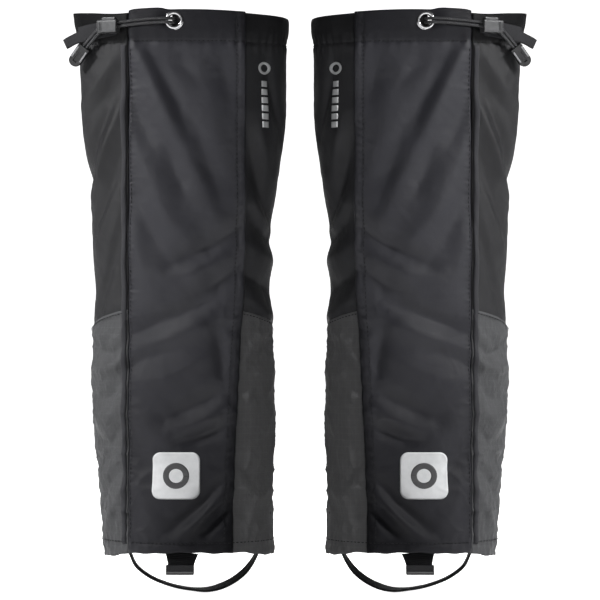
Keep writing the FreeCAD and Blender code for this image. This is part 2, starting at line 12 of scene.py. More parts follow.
import bmesh
import bpy
import numpy as np
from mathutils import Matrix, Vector

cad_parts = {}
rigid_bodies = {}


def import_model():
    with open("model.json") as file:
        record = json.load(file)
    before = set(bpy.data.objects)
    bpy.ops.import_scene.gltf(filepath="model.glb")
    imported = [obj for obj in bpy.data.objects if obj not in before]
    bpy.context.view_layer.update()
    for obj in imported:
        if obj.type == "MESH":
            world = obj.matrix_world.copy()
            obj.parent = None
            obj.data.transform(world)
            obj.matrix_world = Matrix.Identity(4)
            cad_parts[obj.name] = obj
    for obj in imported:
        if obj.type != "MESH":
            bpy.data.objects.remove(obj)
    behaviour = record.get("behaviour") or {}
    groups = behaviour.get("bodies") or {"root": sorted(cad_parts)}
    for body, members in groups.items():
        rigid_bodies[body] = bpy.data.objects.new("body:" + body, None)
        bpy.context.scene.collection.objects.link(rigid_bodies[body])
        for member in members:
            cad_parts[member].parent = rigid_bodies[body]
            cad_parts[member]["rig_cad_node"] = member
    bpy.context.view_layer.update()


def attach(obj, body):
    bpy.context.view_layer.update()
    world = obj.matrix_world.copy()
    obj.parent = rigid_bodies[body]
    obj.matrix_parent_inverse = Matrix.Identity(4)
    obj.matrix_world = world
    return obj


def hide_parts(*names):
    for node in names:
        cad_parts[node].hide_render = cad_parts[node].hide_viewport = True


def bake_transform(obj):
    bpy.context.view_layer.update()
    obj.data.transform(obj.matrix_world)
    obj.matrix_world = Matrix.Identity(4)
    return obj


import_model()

MM = 0.001
GRAIN = 1.7  # spacing of the points on the cloth

# ---------------------------------------------------------------------------------------------------------
# The leg tube


def smooth_curve(xs, ys):
    """A cubic curve through the points, as a function. Beyond its ends it stays level."""
    xs, ys = np.array(xs, float), np.array(ys, float)
    slopes = np.gradient(ys, xs)

    def at(x):
        x = np.clip(x, xs[0], xs[-1])
        i = np.clip(np.searchsorted(xs, x) - 1, 0, len(xs) - 2)
        width = xs[i + 1] - xs[i]
        t = (x - xs[i]) / width
        return (
            (2 * t**3 - 3 * t**2 + 1) * ys[i]
            + (t**3 - 2 * t**2 + t) * width * slopes[i]
            + (-2 * t**3 + 3 * t**2) * ys[i + 1]
            + (t**3 - t**2) * width * slopes[i + 1]
        )

    return at


# height, middle, half width, half depth
STATIONS = [
    (20, -87.4, 66.5, 44.6),
    (60, -89.3, 67.7, 42.6),
    (110, -91.1, 70.1, 39.9),
    (155, -92.1, 71.6, 38.8),
    (205, -92.9, 71.3, 38.2),
    (245, -93.2, 69.6, 38.0),
    (285, -93.9, 70.3, 38.0),
    (318, -92.0, 72.6, 37.7),
    (345, -92.1, 77.0, 37.3),
    (371, -92.1, 80.2, 37.0),
    (407, -92.4, 82.0, 36.5),
    (465, -93.9, 83.6, 35.8),
]
middle_at, half_width_at, half_depth_at = (
    smooth_curve([s[0] for s in STATIONS], [s[i] for s in STATIONS]) for i in (1, 2, 3)
)

HINGE_X = -133.4
HEM_STITCH = 43.0
TOP_STITCH = 433.7
FLAP_OUTER, FLAP_INNER = 2.5, 1.5
UNROLL = 75.0  # millimetres of cloth for each radian of angle


def angle_at(x, z):
    """The angle where the front of the tube is at this X."""
    share = np.clip((x - middle_at(z)) / half_width_at(z), -1, 1)
    return np.degrees(np.arccos(share))


TOP_EDGE = smooth_curve(
    [0, 45, 70, 90, 112, 124, 150, 180, 225, 270, 315, 360],
    [454.2, 456.2, 457.6, 457.8, 456.8, 456.0, 457.6, 459.2, 456.5, 455.0, 454.6, 454.2],
)


def top_edge(angle):
    return TOP_EDGE(np.mod(angle, 360))


def bottom_edge(angle):
    c = np.cos(np.radians(angle))
    wave = 0.45 * np.sin(np.radians(angle) * 9) + 0.3 * np.sin(np.radians(angle) * 23 + 1)
    return 35.8 + wave - np.where(c < 0, 6.4, 5.0) * np.abs(c) ** 3


def panel_seam(angle):
    """Height of the seam between the upper and the lower panels."""
    s = np.sin(np.radians(angle))
    return 210.5 + 17.5 * s


FLAP_EDGE = smooth_curve([35, 81, 162, 232, 388, 457], [-53.2, -52.3, -49.2, -45.3, -43.0, -43.7])


def noise(u, v, cell, seed):
    """Smooth noise from -1 to 1, over the unrolled cloth, that goes round the tube without a seam."""
    rng = np.random.RandomState(seed)
    table = rng.uniform(-1, 1, (64, 64))
    around = max(4, int(round(2 * math.pi * UNROLL / cell)))
    u, v = u / (2 * math.pi * UNROLL) * around, v / cell
    iu, iv = np.floor(u).astype(int), np.floor(v).astype(int)
    fu, fv = u - iu, v - iv
    fu, fv = fu * fu * (3 - 2 * fu), fv * fv * (3 - 2 * fv)

    def value(a, b):
        return table[np.mod(a, around) % 64, np.mod(b, 64)]

    low = value(iu, iv) * (1 - fu) + value(iu + 1, iv) * fu
    high = value(iu, iv + 1) * (1 - fu) + value(iu + 1, iv + 1) * fu
    return low * (1 - fv) + high * fv


# Folds: (depth, width, points). A point is (x or angle, height); the fold fades towards both of its ends.
# On the front a place is given by its X.
FRONT_FOLDS = [
    # pulled down from the corner of the hinge, across the flap
    (3.2, 10, [(-131, 440), (-119, 414), (-107, 388), (-98, 366)]),
    (-2.4, 7, [(-122, 434), (-108, 408), (-95, 384), (-88, 362)]),
    (1.8, 10, [(-98, 372), (-86, 344), (-74, 316), (-62, 288)]),
    (-1.3, 8, [(-84, 372), (-76, 348), (-68, 326), (-62, 308)]),
    (-1.2, 9, [(-132, 400), (-125, 374), (-117, 352)]),
    (-1.6, 7, [(-104, 352), (-97, 330), (-89, 314)]),
    (2.1, 11, [(-128, 352), (-114, 318), (-99, 292), (-82, 272)]),
    (-1.5, 8, [(-131, 322), (-122, 298), (-112, 278), (-104, 262)]),
    (-1.0, 8, [(-96, 430), (-90, 414), (-80, 404)]),
    (0.9, 10, [(-80, 418), (-70, 388), (-64, 350)]),
    (-0.9, 7, [(-62, 430), (-58, 404), (-54, 384)]),
    (1.4, 9, [(-131, 300), (-127, 276), (-121, 254), (-112, 240)]),
    # across the flap at the ankle
    (-3.8, 8, [(-98, 262), (-84, 267), (-68, 275), (-50, 287)]),
    (2.2, 9, [(-104, 248), (-86, 253), (-68, 260), (-52, 270)]),
    (-2.2, 7, [(-84, 236), (-72, 241), (-61, 248), (-50, 257)]),
    (-3.9, 8, [(-133, 203), (-118, 211), (-101, 218), (-82, 226), (-66, 234)]),
    (2.3, 9, [(-131, 192), (-112, 199), (-92, 206), (-72, 214)]),
    (-2.0, 6, [(-134, 180), (-123, 186), (-110, 191), (-98, 193)]),
    (-2.4, 7, [(-66, 210), (-63, 196), (-61, 182), (-60, 170)]),
    (1.9, 9, [(-126, 166), (-106, 172), (-86, 180), (-68, 192)]),
    (-3.8, 8, [(-104, 141), (-88, 147), (-74, 153), (-60, 161)]),
    (2.0, 8, [(-100, 128), (-84, 134), (-70, 141), (-60, 148)]),
    (-3.6, 7, [(-94, 122), (-80, 124), (-68, 129), (-60, 134)]),
    (1.4, 8, [(-130, 140), (-118, 132), (-108, 124), (-98, 120)]),
    (-1.9, 7, [(-133, 118), (-124, 110), (-117, 103), (-112, 96)]),
    (1.3, 8, [(-132, 96), (-124, 84), (-118, 70), (-112, 58)]),
    (-3.4, 6, [(-110, 47), (-98, 54), (-84, 66), (-70, 80), (-60, 92)]),
    (3.2, 5, [(-96, 46), (-84, 56), (-72, 68), (-61, 80)]),
    (-3.2, 6, [(-82, 44), (-73, 52), (-64, 62), (-56, 72)]),
    (2.2, 5, [(-70, 44), (-63, 51), (-57, 59)]),
    # outer side: one long sharp fold runs down to the outline
    (3.2, 6, [(-139, 386), (-150, 359), (-158, 331), (-164, 306)]),
    (-3.0, 8, [(-142, 400), (-154, 372), (-164, 342), (-170, 322)]),
    (-2.0, 7, [(-138, 352), (-147, 326), (-154, 304), (-160, 288)]),
    (2.0, 8, [(-140, 428), (-151, 412), (-162, 396), (-172, 386)]),
    (-1.8, 7, [(-140, 414), (-150, 398), (-160, 384), (-170, 372)]),
    (1.7, 8, [(-138, 318), (-145, 292), (-151, 266), (-156, 242)]),
    (-1.6, 7, [(-139, 288), (-147, 264), (-154, 240), (-158, 222)]),
    (1.3, 7, [(-146, 318), (-154, 294), (-160, 270)]),
    (-2.4, 5, [(-139, 196), (-147, 190), (-156, 192), (-162, 198)]),
    (2.0, 5, [(-139, 185), (-147, 179), (-156, 178), (-162, 183)]),
    (-1.9, 5, [(-141, 166), (-148, 158), (-155, 154), (-161, 155)]),
    (-2.0, 5, [(-140, 130), (-148, 121), (-155, 120), (-161, 126)]),
    (1.8, 6, [(-140, 148), (-149, 140), (-157, 138), (-162, 142)]),
    (-2.1, 6, [(-142, 100), (-149, 90), (-155, 77), (-157, 66)]),
    (1.8, 6, [(-139, 84), (-146, 70), (-151, 58), (-153, 50)]),
    (-1.4, 5, [(-146, 112), (-153, 107), (-159, 108)]),
    # inner side
    (-2.8, 8, [(-42, 366), (-36, 340), (-30, 312), (-24, 288)]),
    (1.2, 9, [(-38, 392), (-31, 362), (-24, 334), (-19, 312)]),
    (2.4, 6, [(-36, 312), (-31, 300), (-26, 290), (-22, 284)]),
    (-2.6, 7, [(-40, 298), (-33, 290), (-27, 283), (-22, 278)]),
    (2.4, 9, [(-42, 276), (-34, 270), (-27, 266), (-23, 262)]),
    (-2.4, 7, [(-42, 252), (-34, 247), (-27, 243), (-24, 240)]),
    (2.2, 8, [(-42, 234), (-34, 228), (-27, 222), (-22, 218)]),
    (-1.8, 6, [(-28, 430), (-24, 404), (-19, 380), (-15, 362)]),
    (-0.9, 6, [(-46, 168), (-39, 178), (-30, 190), (-23, 206)]),
    (0.4, 7, [(-44, 186), (-37, 196), (-30, 206), (-25, 214)]),
    (0.4, 6, [(-47, 152), (-39, 160), (-31, 170), (-23, 180)]),
    (-1.8, 5, [(-50, 108), (-43, 98), (-37, 92), (-29, 92)]),
    (1.2, 6, [(-50, 94), (-43, 84), (-36, 78), (-27, 80)]),
    (-1.8, 5, [(-50, 74), (-44, 64), (-37, 58), (-28, 60)]),
    (1.2, 6, [(-48, 58), (-41, 52), (-34, 50)]),
]
# On the back and at the sides a place is given by its angle.
BACK_FOLDS = [
    (-2.4, 9, [(186, 316), (204, 306), (224, 300), (246, 304)]),
    (1.9, 9, [(184, 292), (206, 284), (230, 280), (254, 286)]),
    (-2.0, 8, [(190, 266), (212, 258), (236, 256), (262, 262)]),
    (-2.2, 9, [(352, 284), (336, 274), (316, 268), (292, 272)]),
    (2.0, 9, [(354, 262), (334, 254), (312, 248), (286, 254)]),
    (-2.0, 8, [(354, 240), (332, 234), (310, 230), (288, 232)]),
    (1.8, 11, [(206, 420), (216, 384), (232, 350), (252, 322)]),
    (-1.8, 9, [(226, 430), (236, 398), (250, 366), (268, 338)]),
    (1.7, 11, [(330, 424), (320, 386), (304, 350), (286, 322)]),
    (-1.9, 9, [(306, 430), (300, 396), (290, 364), (276, 334)]),
    (-1.8, 8, [(194, 176), (214, 168), (234, 160), (252, 148)]),
    (1.4, 8, [(196, 158), (216, 150), (238, 140)]),
    (-1.8, 8, [(346, 172), (326, 164), (306, 156), (288, 146)]),
    (1.4, 8, [(344, 154), (324, 146), (304, 138)]),
    (-1.6, 8, [(206, 90), (222, 76), (238, 66), (256, 60)]),
    (-1.6, 8, [(334, 88), (318, 74), (300, 64), (284, 60)]),
]


FOLD_DEPTH = 1.35


def fold_field(angle, z):
    """How far the folds push the cloth out, the same for every layer."""
    turn = np.mod(angle, 360)
    total = np.zeros(np.broadcast(angle, z).shape)
    front = [(d, w, [(float(angle_at(x, h)), h) for x, h in points]) for d, w, points in FRONT_FOLDS]
    for depth, width, points in front + BACK_FOLDS:
        steps = len(points) - 1
        nearest = np.full(total.shape, 1e9)
        along = np.zeros(total.shape)
        for i, ((a0, z0), (a1, z1)) in enumerate(zip(points, points[1:])):
            du = math.radians(a1 - a0) * UNROLL
            dv = z1 - z0
            pu = np.radians((turn - a0 + 180) % 360 - 180) * UNROLL
            pv = z - z0
            t = np.clip((pu * du + pv * dv) / (du * du + dv * dv), 0, 1)
            gap = np.hypot(pu - t * du, pv - t * dv)
            closer = gap < nearest
            nearest = np.where(closer, gap, nearest)
            along = np.where(closer, (i + t) / steps, along)
        fade = np.sin(np.pi * np.clip(0.12 + 0.76 * along, 0, 1)) ** 0.8
        total += FOLD_DEPTH * depth * fade * np.exp(-((nearest / width) ** 1.7))
    return total


def creases(u, v, cell, seed):
    """Thin raised lines, where crushed cloth keeps its folds."""
    return (1 - np.abs(noise(u, v, cell, seed))) ** 4 - 0.35


def ripple(angle, z):
    """Small wrinkles: puckers at the gathered seams, soft dents all over and crushed creases below the ankle."""
    u = np.radians(angle) * UNROLL
    lower = 1 / (1 + np.exp((z - panel_seam(angle)) / 3))
    at_front = np.exp(-((((angle % 360) - 88) / 34) ** 4))
    crushed = lower * (1 - at_front)
    soft = 0.9 * noise(u + 0.5 * z, z * 0.9, 30, 5) + 0.4 * noise(u - 0.6 * z, z, 15, 6)
    crisp = 0.30 * noise(u + 0.3 * z, z * 1.3, 8.5, 8) + 0.12 * noise(u, z, 4.2, 9)
    crisp = crisp * (0.5 + 1.3 * crushed)
    crisp += (0.22 + 0.95 * crushed) * creases(u + 0.55 * z, z * 1.4, 21, 14)
    crisp += (0.10 + 0.60 * crushed) * creases(u - 0.35 * z, z * 1.6, 11, 15)
    pucker = 0.5 * np.sin(u / 1.25 + 1.3 * noise(u, z, 16, 11)) * np.exp(-(((z - TOP_STITCH) / 7) ** 2))
    pucker += 0.35 * np.sin(u / 1.5 + 1.8 * noise(u, z, 14, 12)) * np.exp(-(((z - HEM_STITCH) / 6) ** 2))
    pucker *= 1 - 0.75 * at_front
    behind = np.exp(-((((angle % 360) - 270) / 26) ** 4)) * np.exp(-(((z - 113) / 12) ** 4))
    gathers = (0.9 * np.sin(u / 1.05 + 0.9 * noise(u, z, 12, 13)) - 1.6) * behind
    return soft + crisp + pucker + gathers


def channel_bulge(z):
    """The top hem is two layers with a cord between them: full in the middle, pinched by its stitches."""
    full = 0.7 * np.exp(-(((z - 446) / 7.5) ** 4)) + 0.11 * np.clip(z - TOP_STITCH - 3, 0, None)
    return full - 0.9 * np.exp(-(((z - TOP_STITCH) / 1.3) ** 2))


def cloth_offset(angle, z):
    low = np.clip((z - 30) / 30, 0.25, 1)
    return fold_field(angle, z) * low + ripple(angle, z) + channel_bulge(z)


def tube_point(angle, z, offset):
    """Points in millimetres, off the tube's outer face by the offset along the outward normal."""
    rad = np.radians(angle)
    a, b = half_width_at(z), half_depth_at(z)
    c, s = np.cos(rad), np.sin(rad)
    nx, ny = c * b, -s * a
    length = np.hypot(nx, ny)
    x = middle_at(z) + a * c + offset * nx / length
    y = -b * s + offset * ny / length
    return np.stack([x, y, z + 0 * x], -1)


# ---------------------------------------------------------------------------------------------------------
# Meshes

SIDES = {"right": 1, "left": -1}


def show(name, data):
    """Puts an object with this data in the scene."""
    holder = bpy.data.objects.new(name, data)
    bpy.context.scene.collection.objects.link(holder)
    return holder


def make_piece(
    name, side, points, faces, body, material, replaces=(), slot=None, cloth=None, tone=1.0, lining=None, shown=0
):
    """A mesh object from points in millimetres, mirrored for the left gaiter, riding on a body.

    cloth is each point's place on the unrolled cloth, and tone how far painted shade darkens its colour and gloss. The
    second run of as many faces as are shown has the lining's material.
    """
    points = np.array(points, float) * MM * np.array([SIDES[side], 1, 1])
    if side == "left":
        faces = [face[::-1] for face in faces]
    mesh = bpy.data.meshes.new(f"{side}_{name}")
    mesh.from_pydata(points.tolist(), [], faces)
    mesh.materials.append(material)
    if lining is not None:
        mesh.materials.append(lining)
        mesh.polygons.foreach_set("material_index", [int(shown <= i < 2 * shown) for i in range(len(faces))])
    if cloth is not None:
        layer = mesh.attributes.new("cloth", "FLOAT_VECTOR", "POINT")
        layer.data.foreach_set("vector", (np.array(cloth, float) * MM).ravel())
        # painted shade: a point attribute that darkens the cloth's colour and gloss
        dye = mesh.attributes.new("dye", "FLOAT", "POINT")
        dye.data.foreach_set("value", np.ones(len(points)) * tone)
    mesh.polygons.foreach_set("use_smooth", [True] * len(faces))
    mesh.update()
    piece = show(f"{side}_{name}", mesh)
    if body:
        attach(piece, f"{side}_{body}")
    if replaces:
        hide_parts(*[f"{side}_{node}" for node in replaces])
    return piece


def grid_faces(rows, columns, start=0, flip=False):
    faces = []
    for i in range(rows - 1):
        for j in range(columns - 1):
            a = start + i * columns + j
            face = (a, a + 1, a + columns + 1, a + columns)
            faces.append(face[::-1] if flip else face)
    return faces


def closed_sheet(outer, inner):
    """Joins two grids of points into one closed thin shell. Gives the points, the faces and the outer face count."""
    rows, columns = outer.shape[:2]
    count = rows * columns
    points = np.concatenate([outer.reshape(-1, 3), inner.reshape(-1, 3)])
    faces = grid_faces(rows, columns)
    shown = len(faces)
    faces += grid_faces(rows, columns, count, flip=True)
    for j in range(columns - 1):
        faces.append((j + 1, j, count + j, count + j + 1))
        a = (rows - 1) * columns + j
        faces.append((a, a + 1, count + a + 1, count + a))
    for i in range(rows - 1):
        a, b = i * columns, (i + 1) * columns
        faces.append((a, b, count + b, count + a))
        a, b = a + columns - 1, b + columns - 1
        faces.append((b, a, count + a, count + b))
    return points, faces, shown


def rim(t, reach):
    """0 at both ends of a run from 0 to 1, 1 in its middle, for rounding an edge off."""
    return np.sqrt(np.clip(1 - (1 - np.clip(np.minimum(t, 1 - t) / reach, 0, 1)) ** 2, 0, 1))


def painted_shade_at(angle, z):
    """Painted shade on the cloth: the doubled channel at the top is painted as a darker band, darker still on the outer
    side.
    """
    band = 1 / (1 + np.exp(-(z - TOP_STITCH - 1.0) / 0.8))
    outer = np.exp(-((((angle % 360) - 160) / 36) ** 4))
    return 1 - band * (0.50 + 0.26 * outer)


def flap_painted_shade(angle, z):
    """Painted shade on the flap: its turned hem is painted darker, most below the calf, and the flap darker towards its
    bottom.
    """
    inside = np.radians(angle - from_edge(0)(z)) * UNROLL
    margin = 1 / (1 + np.exp((inside - 6.6) / 0.5))
    low = 1 / (1 + np.exp((z - 235) / 14))
    # painted shade: darker towards the bottom, most in the lower corner by the free edge and at the foot
    painted_low_shade = 1 / (1 + np.exp((z - 190) / 26))
    corner = 1 / (1 + np.exp((z - 112) / 16)) / (1 + np.exp((angle - 96) / 8))
    foot = 1 / (1 + np.exp((z - 62) / 8)) / (1 + np.exp((angle - 114) / 5))
    dark = (1 - 0.30 * painted_low_shade) * (1 - 0.42 * corner) * (1 - 0.30 * foot)
    return painted_shade_at(angle, z) * (1 - (0.12 + 0.33 * low) * margin) * dark


def unrolled(angle, z):
    """Places on the flat cloth, for the weave."""
    return np.stack([np.radians(angle) * UNROLL, z, 0 * z], -1).reshape(-1, 3)


def cloth_panel(
    name, side, body, angles, heights, offset, thickness, material, extra=None, tone=painted_shade_at, fine=1.0, **more
):
    """A piece of cloth on the tube, between two edges that may depend on the height, and two on the angle."""
    (low_angle, high_angle), (low_z, high_z) = angles, heights
    middle_z = 0.5 * (float(low_z(180.0)) + float(high_z(180.0)))
    span_u = math.radians(abs(high_angle(middle_z) - low_angle(middle_z))) * UNROLL
    span_v = float(high_z(200.0) - low_z(200.0))
    columns, rows = (max(4, int(span / (GRAIN * fine))) for span in (span_u, span_v))
    u, v = np.meshgrid(np.linspace(0, 1, columns), np.linspace(0, 1, rows))
    angle = low_angle(middle_z) + u * (high_angle(middle_z) - low_angle(middle_z))
    for _ in range(4):
        z = low_z(angle) + v * (high_z(angle) - low_z(angle))
        angle = low_angle(z) + u * (high_angle(z) - low_angle(z))
    z = low_z(angle) + v * (high_z(angle) - low_z(angle))
    push = cloth_offset(angle, z) + offset
    if extra is not None:
        push = push + extra(angle, z, u, v)
    edge = rim(u, 1.2 / max(span_u, 2.4)) * rim(v, 1.2 / max(span_v, 2.4))
    half = thickness / 2
    full = half * (0.35 + 0.65 * edge)
    outer, inner = (tube_point(angle, z, push - half + way * full) for way in (1, -1))
    points, faces, shown = closed_sheet(outer, inner)
    flat, shades = unrolled(angle, z), tone(angle, z).ravel()
    return make_piece(
        name, side, points, faces, body, material, cloth=np.concatenate([flat, flat]),
        tone=np.concatenate([shades, shades]), shown=shown, **more,
    )


def film(angle, z, push, top, bottom):
    """A closed thin sheet that follows the cloth, from bottom to top above it."""
    return closed_sheet(tube_point(angle, z, push + top), tube_point(angle, z, push + bottom))[:2]


def constant(value):
    return lambda _: value + 0 * np.asarray(_, float)


def run_of(path):
    """How far along a path each of its points is."""
    return np.concatenate([[0], np.cumsum(np.linalg.norm(np.diff(path, axis=0), axis=1))])


def directions(path):
    ways = np.gradient(path, axis=0)
    return ways / np.linalg.norm(ways, axis=1)[:, None]


def ring_faces(rings, sides, flip=False):
    """The sides and both ends of a tube made of rings of points."""
    faces = []
    for i in range(rings - 1):
        for k in range(sides):
            a, b = i * sides + k, i * sides + (k + 1) % sides
            faces.append((a, b, b + sides, a + sides))
    faces.append(tuple(range(sides))[::-1])
    faces.append(tuple((rings - 1) * sides + k for k in range(sides)))
    return [face[::-1] for face in faces] if flip else faces


def tube_mesh(path, radius, sides):
    """A round tube along points, with closed ends. Gives points, faces and places along and round it."""
    path = np.array(path, float)
    ways = directions(path)
    normal = np.cross(ways[0], (1.0, 0.0, 0.0) if abs(ways[0][2]) > 0.9 else (0.0, 0.0, 1.0))
    points, places = [], []
    for p, way, run in zip(path, ways, run_of(path)):
        normal = normal - way * (normal @ way)
        normal /= np.linalg.norm(normal)
        other = np.cross(way, normal)
        for k in range(sides):
            a = 2 * math.pi * k / sides
            points.append(p + radius * (math.cos(a) * normal + math.sin(a) * other))
            places.append((run, math.cos(a) * radius, math.sin(a) * radius))
    return np.array(points), ring_faces(len(path), sides), np.array(places)


BAND_STEPS = 9  # points across a band
BAND_EDGE = 0.14  # share of its half width that is rounded off


def band_mesh(path, across, width, thickness, roll=0.0):
    """Webbing: a flat band with rounded edges along points. across is the direction of its width."""
    path = np.array(path, float)
    width, roll = np.broadcast_to(width, len(path)), np.broadcast_to(roll, len(path))
    section = []
    for face in (1, -1):
        for share in np.linspace(-face, face, BAND_STEPS):
            round_off = math.sqrt(max(0.0, 1 - max(0.0, (abs(share) - 1 + BAND_EDGE) / BAND_EDGE) ** 2))
            section.append((share, face * thickness / 2 * (0.25 + 0.75 * round_off)))
    points, places = [], []
    for p, way, run, wide, turn in zip(path, directions(path), run_of(path), width, roll):
        w = np.array(across, float) - way * (np.array(across, float) @ way)
        w /= np.linalg.norm(w)
        n = np.cross(way, w)
        c, s = math.cos(turn), math.sin(turn)
        w, n = c * w + s * n, -s * w + c * n
        for share, lift in section:
            points.append(p + w * share * wide / 2 + n * lift)
            places.append((share * wide / 2, run, lift))
    return np.array(points), ring_faces(len(path), 2 * BAND_STEPS, flip=True), np.array(places)


def resample(points, step):
    """Points evenly spaced along a smooth curve through the given ones."""
    points = np.array(points, float)
    knots = run_of(points)
    along = np.linspace(0, knots[-1], max(3, int(knots[-1] / step)))
    return np.stack([smooth_curve(knots, points[:, i])(along) for i in range(3)], -1)


def route_points(points):
    """Points along the NURBS spline of a route, as Blender draws it."""
    curve = bpy.data.curves.new("route", "CURVE")
    curve.dimensions = "3D"
    curve.resolution_u = 24
    spline = curve.splines.new("NURBS")
    spline.points.add(len(points) - 1)
    for control, p in zip(spline.points, points):
        control.co = (*p, 1.0)
    spline.order_u = 3
    spline.use_endpoint_u = True
    holder = show("route", curve)
    bpy.context.view_layer.update()
    line = bpy.data.meshes.new_from_object(holder)
    found = np.array([v.co[:] for v in line.vertices])
    bpy.data.objects.remove(holder)
    bpy.data.meshes.remove(line)
    bpy.data.curves.remove(curve)
    return found


STITCH_RADIUS, STITCH_SINK, STITCH_SIDES = 0.32, 0.1, 6
# Sections of one stitch: share of its length, share of its radius
STITCH_RINGS = ((0.0, 0.1), (0.12, 0.75), (0.5, 1.0), (0.88, 0.75), (1.0, 0.1))


def stitches(name, side, body, line, length=2.3, gap=1.1):
    """A row of stitches along a line of (angle, height, offset), as short threads pressed into the cloth."""
    fine = np.linspace(0, len(line) - 1, 60 * len(line))
    angle, z, offset = (np.interp(fine, np.arange(len(line)), np.array(v, float)) for v in zip(*line))
    offset = offset + cloth_offset(angle, z)
    path = tube_point(angle, z, offset)
    outward = tube_point(angle, z, offset + 1.0) - path
    run = run_of(path)

    def at(place, values):
        return np.array([np.interp(place, run, values[:, i]) for i in range(3)])

    points, faces = [], []
    for k in range(int(run[-1] / (length + gap))):
        start = (k + 0.15) * (length + gap)
        first, last, out = at(start, path), at(start + length, path), at(start + length / 2, outward)
        out /= np.linalg.norm(out)
        way = (last - first) / np.linalg.norm(last - first)
        across = np.cross(out, way)
        base = len(points)
        for share, swell in STITCH_RINGS:
            centre = first + (last - first) * share + out * (STITCH_RADIUS * (0.55 * swell) - STITCH_SINK)
            for j in range(STITCH_SIDES):
                a = 2 * math.pi * j / STITCH_SIDES
                points.append(centre + STITCH_RADIUS * swell * (math.cos(a) * across + math.sin(a) * out))
        faces += [tuple(base + i for i in face) for face in ring_faces(len(STITCH_RINGS), STITCH_SIDES)]
    make_piece(f"{name}_stitches", side, points, faces, body, M["thread"])


# ---------------------------------------------------------------------------------------------------------
# Materials


class Nodes:
    """A short way to write a material's nodes."""

    def __init__(self, name):
        self.material = bpy.data.materials.new(name)
        self.material.use_nodes = True
        self.tree = self.material.node_tree
        self.shader = self.tree.nodes["Principled BSDF"]

    def add(self, kind, inputs=None, **settings):
        node = self.tree.nodes.new(kind)
        for key, value in settings.items():
            setattr(node, key, value)
        for key, value in (inputs or {}).items():
            self.put(node.inputs[key], value)
        return node

    def put(self, socket, value):
        if isinstance(value, bpy.types.NodeSocket):
            self.tree.links.new(value, socket)
        else:
            socket.default_value = value

    def set(self, **values):
        """Sets the shader's inputs, and gives the material."""
        for key, value in values.items():
            self.put(self.shader.inputs[key.replace("_", " ")], value)
        return self.material

    def cloth(self):
        """Where a point is on the unrolled cloth."""
        return self.add("ShaderNodeAttribute", attribute_name="cloth").outputs["Vector"]

    def place(self):
        return self.add("ShaderNodeTexCoord").outputs["Object"]

    def shades(self, share, colour, low, high):
        """From a darker to a lighter shade of one colour."""
        dark, light = ((*[min(1.0, c * factor) for c in colour], 1.0) for factor in (low, high))
        return self.mix(share, dark, light)

    def scaled(self, vector, factors):
        return self.add("ShaderNodeVectorMath", {0: vector, 1: factors}, operation="MULTIPLY").outputs[0]

    def sums(self, *values):
        total = values[0]
        for value in values[1:]:
            total = self.add("ShaderNodeMath", {0: total, 1: value}, operation="ADD").outputs[0]
        return total

    def times(self, value, factor):
        return self.add("ShaderNodeMath", {0: value, 1: factor}, operation="MULTIPLY").outputs[0]

    def noise(self, vector, scale, detail=3.0, roughness=0.55):
        node = self.add(
            "ShaderNodeTexNoise", {"Vector": vector, "Scale": scale, "Detail": detail, "Roughness": roughness}
        )
        return node.outputs["Fac"]

    def wave(self, vector, pitch, direction="X", distortion=0.0):
        # the node's bands are 2 pi / 20 apart at a scale of 1
        node = self.add(
            "ShaderNodeTexWave", {"Vector": vector, "Scale": math.pi / 10 / (pitch * MM), "Distortion": distortion},
            bands_direction=direction,
        )
        return node.outputs["Fac"]

    def range(self, value, low, high, to_low, to_high):
        node = self.add(
            "ShaderNodeMapRange",
            {"Value": value, "From Min": low, "From Max": high, "To Min": to_low, "To Max": to_high},
        )
        return node.outputs[0]

    def mix(self, share, a, b):
        node = self.add("ShaderNodeMix", {0: share, 6: a, 7: b}, data_type="RGBA")
        return node.outputs[2]

    def bump(self, height, strength, distance, normal=None):
        inputs = {"Height": height, "Strength": strength, "Distance": distance}
        if normal is not None:
            inputs["Normal"] = normal
        return self.add("ShaderNodeBump", inputs).outputs[0]


def woven(name, colour, thread=0.42, ripstop=0.0, rough=0.8, sheen=0.08, crinkle=0.25, vary=0.12, gloss=0.25):
    """Synthetic cloth: crossed threads, an optional ripstop grid, fine creases, uneven colour, and painted shade from a
    point attribute that darkens its colour and gloss.
    """
    n = Nodes(name)
    place = n.cloth()
    fibres = n.noise(n.scaled(place, (1.0, 0.35, 1.0)), 2600, 2.0)
    clouds = n.noise(place, 26, 4.0, 0.6)
    crushed = n.noise(place, 150, 5.0, 0.62)
    height = n.sums(*[n.times(n.wave(place, thread, way, 0.4), 0.5) for way in "XY"], n.times(fibres, 0.5))
    # tone: random clouds, plus painted shade that follows the crushed crinkles and fibres, darker in their hollows
    tone = n.sums(n.times(clouds, 0.55), n.times(crushed, 0.3), n.times(fibres, 0.3))
    if ripstop:
        ribs = n.sums(*[n.range(n.wave(place, 5.2, way), 0.93, 1.0, 0, 1) for way in "XY"])
        height = n.sums(height, n.times(ribs, ripstop))
        tone = n.sums(tone, n.times(ribs, 0.12))
    # painted shade: the attribute darkens the base colour and the specular level
    dye = n.add("ShaderNodeAttribute", attribute_name="dye").outputs["Fac"]
    cloth = n.shades(n.range(tone, 0.38, 0.78, 0, 1), colour, 1 - vary, 1 + vary)
    return n.set(
        Base_Color=n.mix(dye, (0.0, 0.0, 0.0, 1), cloth),
        Roughness=n.range(clouds, 0.3, 0.7, rough - 0.06, rough + 0.08),
        Normal=n.bump(height, 0.35, 0.00022, n.bump(crushed, crinkle, 0.0016)),
        Sheen_Weight=sheen, Sheen_Roughness=0.45, Specular_IOR_Level=n.times(dye, gloss),
    )


